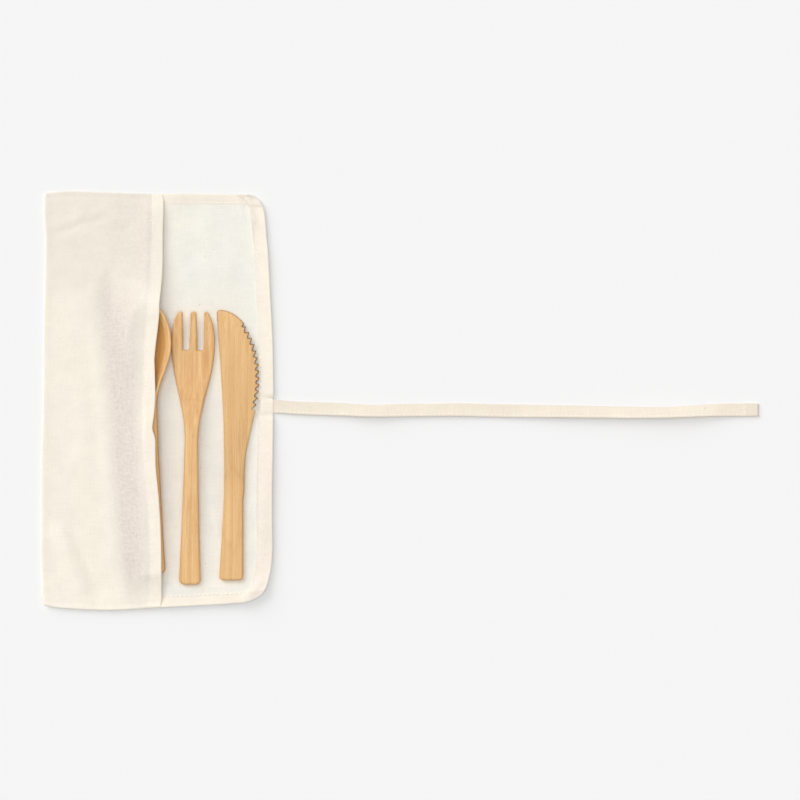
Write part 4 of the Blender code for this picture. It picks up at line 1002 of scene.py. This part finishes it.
def bamboo(name, place, turn, seed, light, middle, dark, stain_and_shade_colour, joints):
    """Sanded bamboo. Fibres are 0.5 mm wide and run 60 mm, in bundles about 2.5 mm wide.

    The stain colour is that of burnt cuts, browner strips and oily places, and is also used for
    painted shade on the sides, on the spoon's handle and in its bowl. joints are rings of the
    cane: their place along the piece, width, strength and slant.
    """
    material, tree, shader = new_material(name)
    coords = add_node(tree, "TexCoord")
    shifted = add_node(tree, "Mapping", {
        "Vector": coords.outputs["Object"], "Location": (-place[0], -place[1], 0.0)})
    turned = add_node(tree, "Mapping", {"Vector": shifted.outputs[0],
                                        "Rotation": (0.0, 0.0, -turn)})
    split = add_node(tree, "SeparateXYZ", {0: turned.outputs[0]})
    # The grain wanders sideways by about a millimetre either way
    wander_space = add_node(tree, "Mapping", {
        "Vector": turned.outputs[0], "Location": (seed, seed * 2, 0.0), "Scale": (12, 9, 12)})
    wander = add_node(tree, "TexNoise", {"Vector": wander_space.outputs[0], "Scale": 1.0,
                                         "Detail": 1.0})
    side = add_node(tree, "Math", {0: wander.outputs["Fac"], 1: GRAIN_WANDER, 2: split.outputs[0]},
                    operation="MULTIPLY_ADD")
    grain = add_node(tree, "CombineXYZ", {0: side.outputs[0], 1: split.outputs[1],
                                          2: split.outputs[2]})
    fibre_space = add_node(tree, "Mapping", {
        "Vector": grain.outputs[0], "Location": (seed, seed, 0.0), "Scale": (1900, 17, 1300)})
    fibres = add_node(tree, "TexNoise", {"Vector": fibre_space.outputs[0], "Scale": 1.0,
                                         "Detail": 3.0, "Roughness": 0.55})
    bundle_space = add_node(tree, "Mapping", {
        "Vector": grain.outputs[0], "Location": (seed * 3, seed, 0.0), "Scale": (430, 6, 300)})
    bundles = add_node(tree, "TexNoise", {"Vector": bundle_space.outputs[0], "Scale": 1.0,
                                          "Detail": 2.0, "Roughness": 0.5})
    # Pores show as fine strokes, 0.3 mm wide and 4 mm long
    pore_space = add_node(tree, "Mapping", {
        "Vector": grain.outputs[0], "Location": (seed, seed * 5, 0.0), "Scale": (3000, 230, 2000)})
    pores = add_node(tree, "TexNoise", {"Vector": pore_space.outputs[0], "Scale": 1.0,
                                        "Detail": 1.0})
    cloud_space = add_node(tree, "Mapping", {
        "Vector": turned.outputs[0], "Location": (seed, 0.0, 0.0), "Scale": (55, 11, 55)})
    clouds = add_node(tree, "TexNoise", {"Vector": cloud_space.outputs[0], "Scale": 1.0,
                                         "Detail": 2.0})
    fibre_tone = add_node(tree, "MapRange", {"Value": fibres.outputs["Fac"], 1: 0.38, 2: 0.63})
    bundle_tone = add_node(tree, "MapRange", {"Value": bundles.outputs["Fac"], 1: 0.38, 2: 0.64})
    both = add_node(tree, "Math", {0: fibre_tone.outputs[0], 1: 0.45}, operation="MULTIPLY")
    both = add_node(tree, "Math", {0: bundle_tone.outputs[0], 1: 0.55, 2: both.outputs[0]},
                    operation="MULTIPLY_ADD")
    pale = add_node(tree, "Mix", {0: both.outputs[0], 6: linear(middle), 7: linear(light)},
                    data_type="RGBA")
    cloud_tone = add_node(tree, "MapRange", {"Value": clouds.outputs["Fac"], 1: 0.35, 2: 0.75,
                                             3: 0.0, 4: 0.5})
    clouded = add_node(tree, "Mix", {0: cloud_tone.outputs[0], 6: pale.outputs[2],
                                     7: linear(middle)}, data_type="RGBA")
    pore_tone = add_node(tree, "MapRange", {"Value": pores.outputs["Fac"], 1: 0.60, 2: 0.76,
                                            3: 0.0, 4: 0.32})
    pored = add_node(tree, "Mix", {0: pore_tone.outputs[0], 6: clouded.outputs[2],
                                   7: linear(dark)}, data_type="RGBA")
    colour = pored.outputs[2]
    for at, width, strength, slant in joints:
        # A joint shows as a soft broken V across the grain
        off = add_node(tree, "Math", {0: split.outputs[0]}, operation="ABSOLUTE")
        bent = add_node(tree, "Math", {0: off.outputs[0], 1: slant, 2: split.outputs[1]},
                        operation="MULTIPLY_ADD")
        ragged = add_node(tree, "Math", {0: bundles.outputs["Fac"], 1: width * 3.0,
                                         2: bent.outputs[0]}, operation="MULTIPLY_ADD")
        distance = add_node(tree, "Math", {0: ragged.outputs[0], 1: at + width * 1.5},
                            operation="SUBTRACT")
        distance = add_node(tree, "Math", {0: distance.outputs[0]}, operation="ABSOLUTE")
        band = add_node(tree, "MapRange", {"Value": distance.outputs[0], 1: width, 2: 0.0,
                                           3: 0.0, 4: strength}, interpolation_type="SMOOTHSTEP")
        broken = add_node(tree, "Math", {0: band.outputs[0], 1: fibre_tone.outputs[0]},
                          operation="MULTIPLY")
        joined = add_node(tree, "Mix", {0: broken.outputs[0], 6: colour, 7: linear(dark)},
                          data_type="RGBA")
        colour = joined.outputs[2]
    stain_and_shade = add_node(tree, "Attribute", attribute_name="stain_and_shade")
    final = add_node(tree, "Mix", {0: stain_and_shade.outputs["Fac"], 6: colour, 7: linear(stain_and_shade_colour)},
                     data_type="RGBA")
    tree.links.new(final.outputs[2], shader.inputs["Base Color"])
    rough = add_node(tree, "MapRange", {"Value": fibres.outputs["Fac"], 1: 0.3, 2: 0.7,
                                        3: 0.60, 4: 0.44})
    tree.links.new(rough.outputs[0], shader.inputs["Roughness"])
    relief = add_node(tree, "Math", {0: pores.outputs["Fac"], 1: -0.5, 2: fibres.outputs["Fac"]},
                      operation="MULTIPLY_ADD")
    bump = add_node(tree, "Bump", {"Strength": 0.25, "Distance": 0.10 * MM,
                                   "Height": relief.outputs[0]})
    tree.links.new(bump.outputs[0], shader.inputs["Normal"])
    shader.inputs["IOR"].default_value = 1.5
    return material


def sanded_copy(node, name):
    """A piece in place of a CAD node: its loose triangles merged and its edges sanded soft."""
    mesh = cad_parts[node].data.copy()
    mesh.name = name
    piece = bpy.data.objects.new(name, mesh)
    bpy.context.scene.collection.objects.link(piece)
    bpy.ops.object.select_all(action="DESELECT")
    piece.select_set(True)
    bpy.context.view_layer.objects.active = piece
    bpy.ops.object.mode_set(mode="EDIT")
    bpy.ops.mesh.select_all(action="SELECT")
    bpy.ops.mesh.remove_doubles(threshold=0.002 * MM)
    bpy.ops.object.mode_set(mode="OBJECT")
    skin = piece.modifiers.new("one skin", "REMESH")
    skin.mode = "VOXEL"
    skin.voxel_size = VOXEL[node]
    skin.use_smooth_shade = True
    sanding = piece.modifiers.new("sanding", "SMOOTH")
    sanding.factor = 0.5
    sanding.iterations = SANDING_PASSES[node]
    apply_modifiers(piece)
    piece.data.materials.clear()
    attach(piece, "root")
    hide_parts(node)
    return piece


def skin_data(piece):
    """Places in millimetres and normals of a piece's points."""
    count = len(piece.data.vertices)
    places, normals = np.empty(count * 3), np.empty(count * 3)
    piece.data.vertices.foreach_get("co", places)
    piece.data.vertices.foreach_get("normal", normals)
    return places.reshape(-1, 3) / MM, normals.reshape(-1, 3)


def set_stain_and_shade(piece, share):
    """Note for the material how far each point is stained, or darkened by painted shade."""
    layer = piece.data.attributes.new("stain_and_shade", "FLOAT", "POINT")
    layer.data.foreach_set("value", np.clip(share, 0, 1).astype(np.float32))


def move_points(piece, places):
    """Put a piece's points at these places in millimetres."""
    piece.data.vertices.foreach_set("co", (places * MM).ravel())
    piece.data.update()


def painted_side_shade(normals):
    """Painted shade: the sides, which turn from the light, are drawn a little darker than the broad
    faces.
    """
    return 0.30 * np.clip((0.8 - np.abs(normals[:, 2])) / 0.5, 0, 1)


SPOON_PLACE = (-1.6 * MM, -127.6 * MM)
SPOON_TURN = math.radians(1.25)
spoon = sanded_copy("spoon", "spoon_bamboo")
spoon.data.materials.append(bamboo("sanded_bamboo_spoon", SPOON_PLACE, SPOON_TURN, 1.7,
                                   "F1C68A", "D9A669", "A4703A", "CB8F44",
                                   [(118 * MM, 3 * MM, 0.3, 0.25)]))
places, normals = skin_data(spoon)
# Painted shade darkens the bowl below its rim, where the cloth's shadow falls, and oil gathered
# there darkens it too
in_bowl = np.clip((places[:, 1] - 2) / 6, 0, 1) * (normals[:, 2] > 0.1)
bowl_shade_and_oil = in_bowl * np.clip((7.5 - places[:, 2]) / 0.7, 0, 0.75)
# Painted shade darkens the handle's sides, in the shadow of the cloth's edge
painted_handle_shade = 0.85 * (places[:, 1] < 5) * np.clip((0.97 - normals[:, 2]) / 0.3, 0, 1)
set_stain_and_shade(spoon, np.maximum(bowl_shade_and_oil, painted_handle_shade) + painted_side_shade(normals))
# The bowl's right side reaches a little further out than the solid's
reach = np.interp(places[:, 1], (-4, 8, 20, 45, 62), (0.0, 1.3, 1.4, 1.3, 1.0))
places[:, 0] += reach * np.clip((places[:, 0] + 6) / 10, 0, 1)
move_points(spoon, places)

FORK_PLACE = (23.9 * MM, -135.2 * MM)
FORK_TURN = math.radians(-0.8)
SANDED_OFF = 0.22
fork = sanded_copy("fork", "fork_bamboo")
fork.data.materials.append(bamboo("sanded_bamboo_fork", FORK_PLACE, FORK_TURN, 4.3,
                                  "F1C78B", "D8A468", "A8713A", "C98D4C",
                                  [(136 * MM, 2 * MM, 0.25, 0.1)]))
places, normals = skin_data(fork)
# One tine was cut from a browner strip of the cane
brown_strip = np.exp(-((places[:, 0] - 36.5) / 2.6) ** 2 - ((places[:, 1] - 32) / 12.0) ** 2)
# Its neck is a little browner too
brown_neck = np.exp(-((places[:, 1] - 2) / 16.0) ** 2)
knot = np.exp(-((places[:, 0] - 35.6) / 0.8) ** 2 - ((places[:, 1] - 63.2) / 0.9) ** 2)
set_stain_and_shade(fork, 0.65 * brown_strip + 0.22 * brown_neck + 0.9 * knot + painted_side_shade(normals))
# Sanding in the script wears the tines thinner than real sanding did
places[:, :2] += SANDED_OFF * normals[:, :2]
move_points(fork, places)
# The right sides of two tines stand a little further right
places, normals = skin_data(fork)
on_tine = np.maximum(np.exp(-((places[:, 0] - 17) / 2) ** 4),
                     np.exp(-((places[:, 0] - 28.3) / 2) ** 4))
on_tine *= np.clip((places[:, 1] - 36) / 3, 0, 1)
places[:, 0] += 0.6 * on_tine * np.clip(normals[:, 0], 0, 1)
move_points(fork, places)

KNIFE_PLACE = (55.7 * MM, -132.7 * MM)
BURNT_LINE = 0.75
knife = sanded_copy("knife", "knife_bamboo")
knife.data.materials.append(bamboo("sanded_bamboo_knife", KNIFE_PLACE, 0.0, 8.9,
                                   "F3CA8E", "D8A76A", "A8723C", "6E4420",
                                   [(82 * MM, 5 * MM, 0.22, 1.2), (20 * MM, 6 * MM, 0.2, -2.2)]))
places, normals = skin_data(knife)
# The notches were burnt in, so a dark line follows their edges
toothed = ((places[:, 0] > 60) & (places[:, 1] > -5)) | (places[:, 1] > 58)
cut_sides = places[toothed & (np.abs(normals[:, 2]) < 0.75)]
lookup = KDTree(len(cut_sides))
for k, place in enumerate(cut_sides):
    lookup.insert(place, k)
lookup.balance()
from_cut = np.full(len(places), math.inf)
for k in np.nonzero(toothed)[0]:
    from_cut[k] = lookup.find(places[k])[2]
burnt = np.clip((BURNT_LINE - from_cut) / 0.35, 0, 1) * np.where(places[:, 1] > 57, 0.55, 1.0)
# The handle is drawn a little darker around its middle
darker_mid_handle = 0.12 * np.exp(-((places[:, 1] + 46) / 24) ** 2)
set_stain_and_shade(knife, np.maximum(0.85 * burnt, 0.5 * painted_side_shade(normals)) + darker_mid_handle)
# The handle's left side is hollowed by up to a millimetre
waist = np.interp(places[:, 1], (-128, -113, -90, -78, -66, -54, -31, -7, 16, 50),
                  (0.3, 0.4, 0.6, 0.95, 1.1, 1.0, 0.75, 0.6, 0.1, 0.0))
places[:, 0] += waist * np.clip((62 - places[:, 0]) / 14, 0, 1)
places[:, 1] += 0.5 * np.clip((-122 - places[:, 1]) / 8, 0, 1)
# Its right side starts wider below the teeth
shoulder = np.interp(places[:, 1], (-74, -66, -44, -28, -12), (0.0, 0.9, 1.2, 1.0, 0.0))
places[:, 0] += shoulder * np.clip((places[:, 0] - 57) / 6, 0, 1)
move_points(knife, places)


low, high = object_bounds()
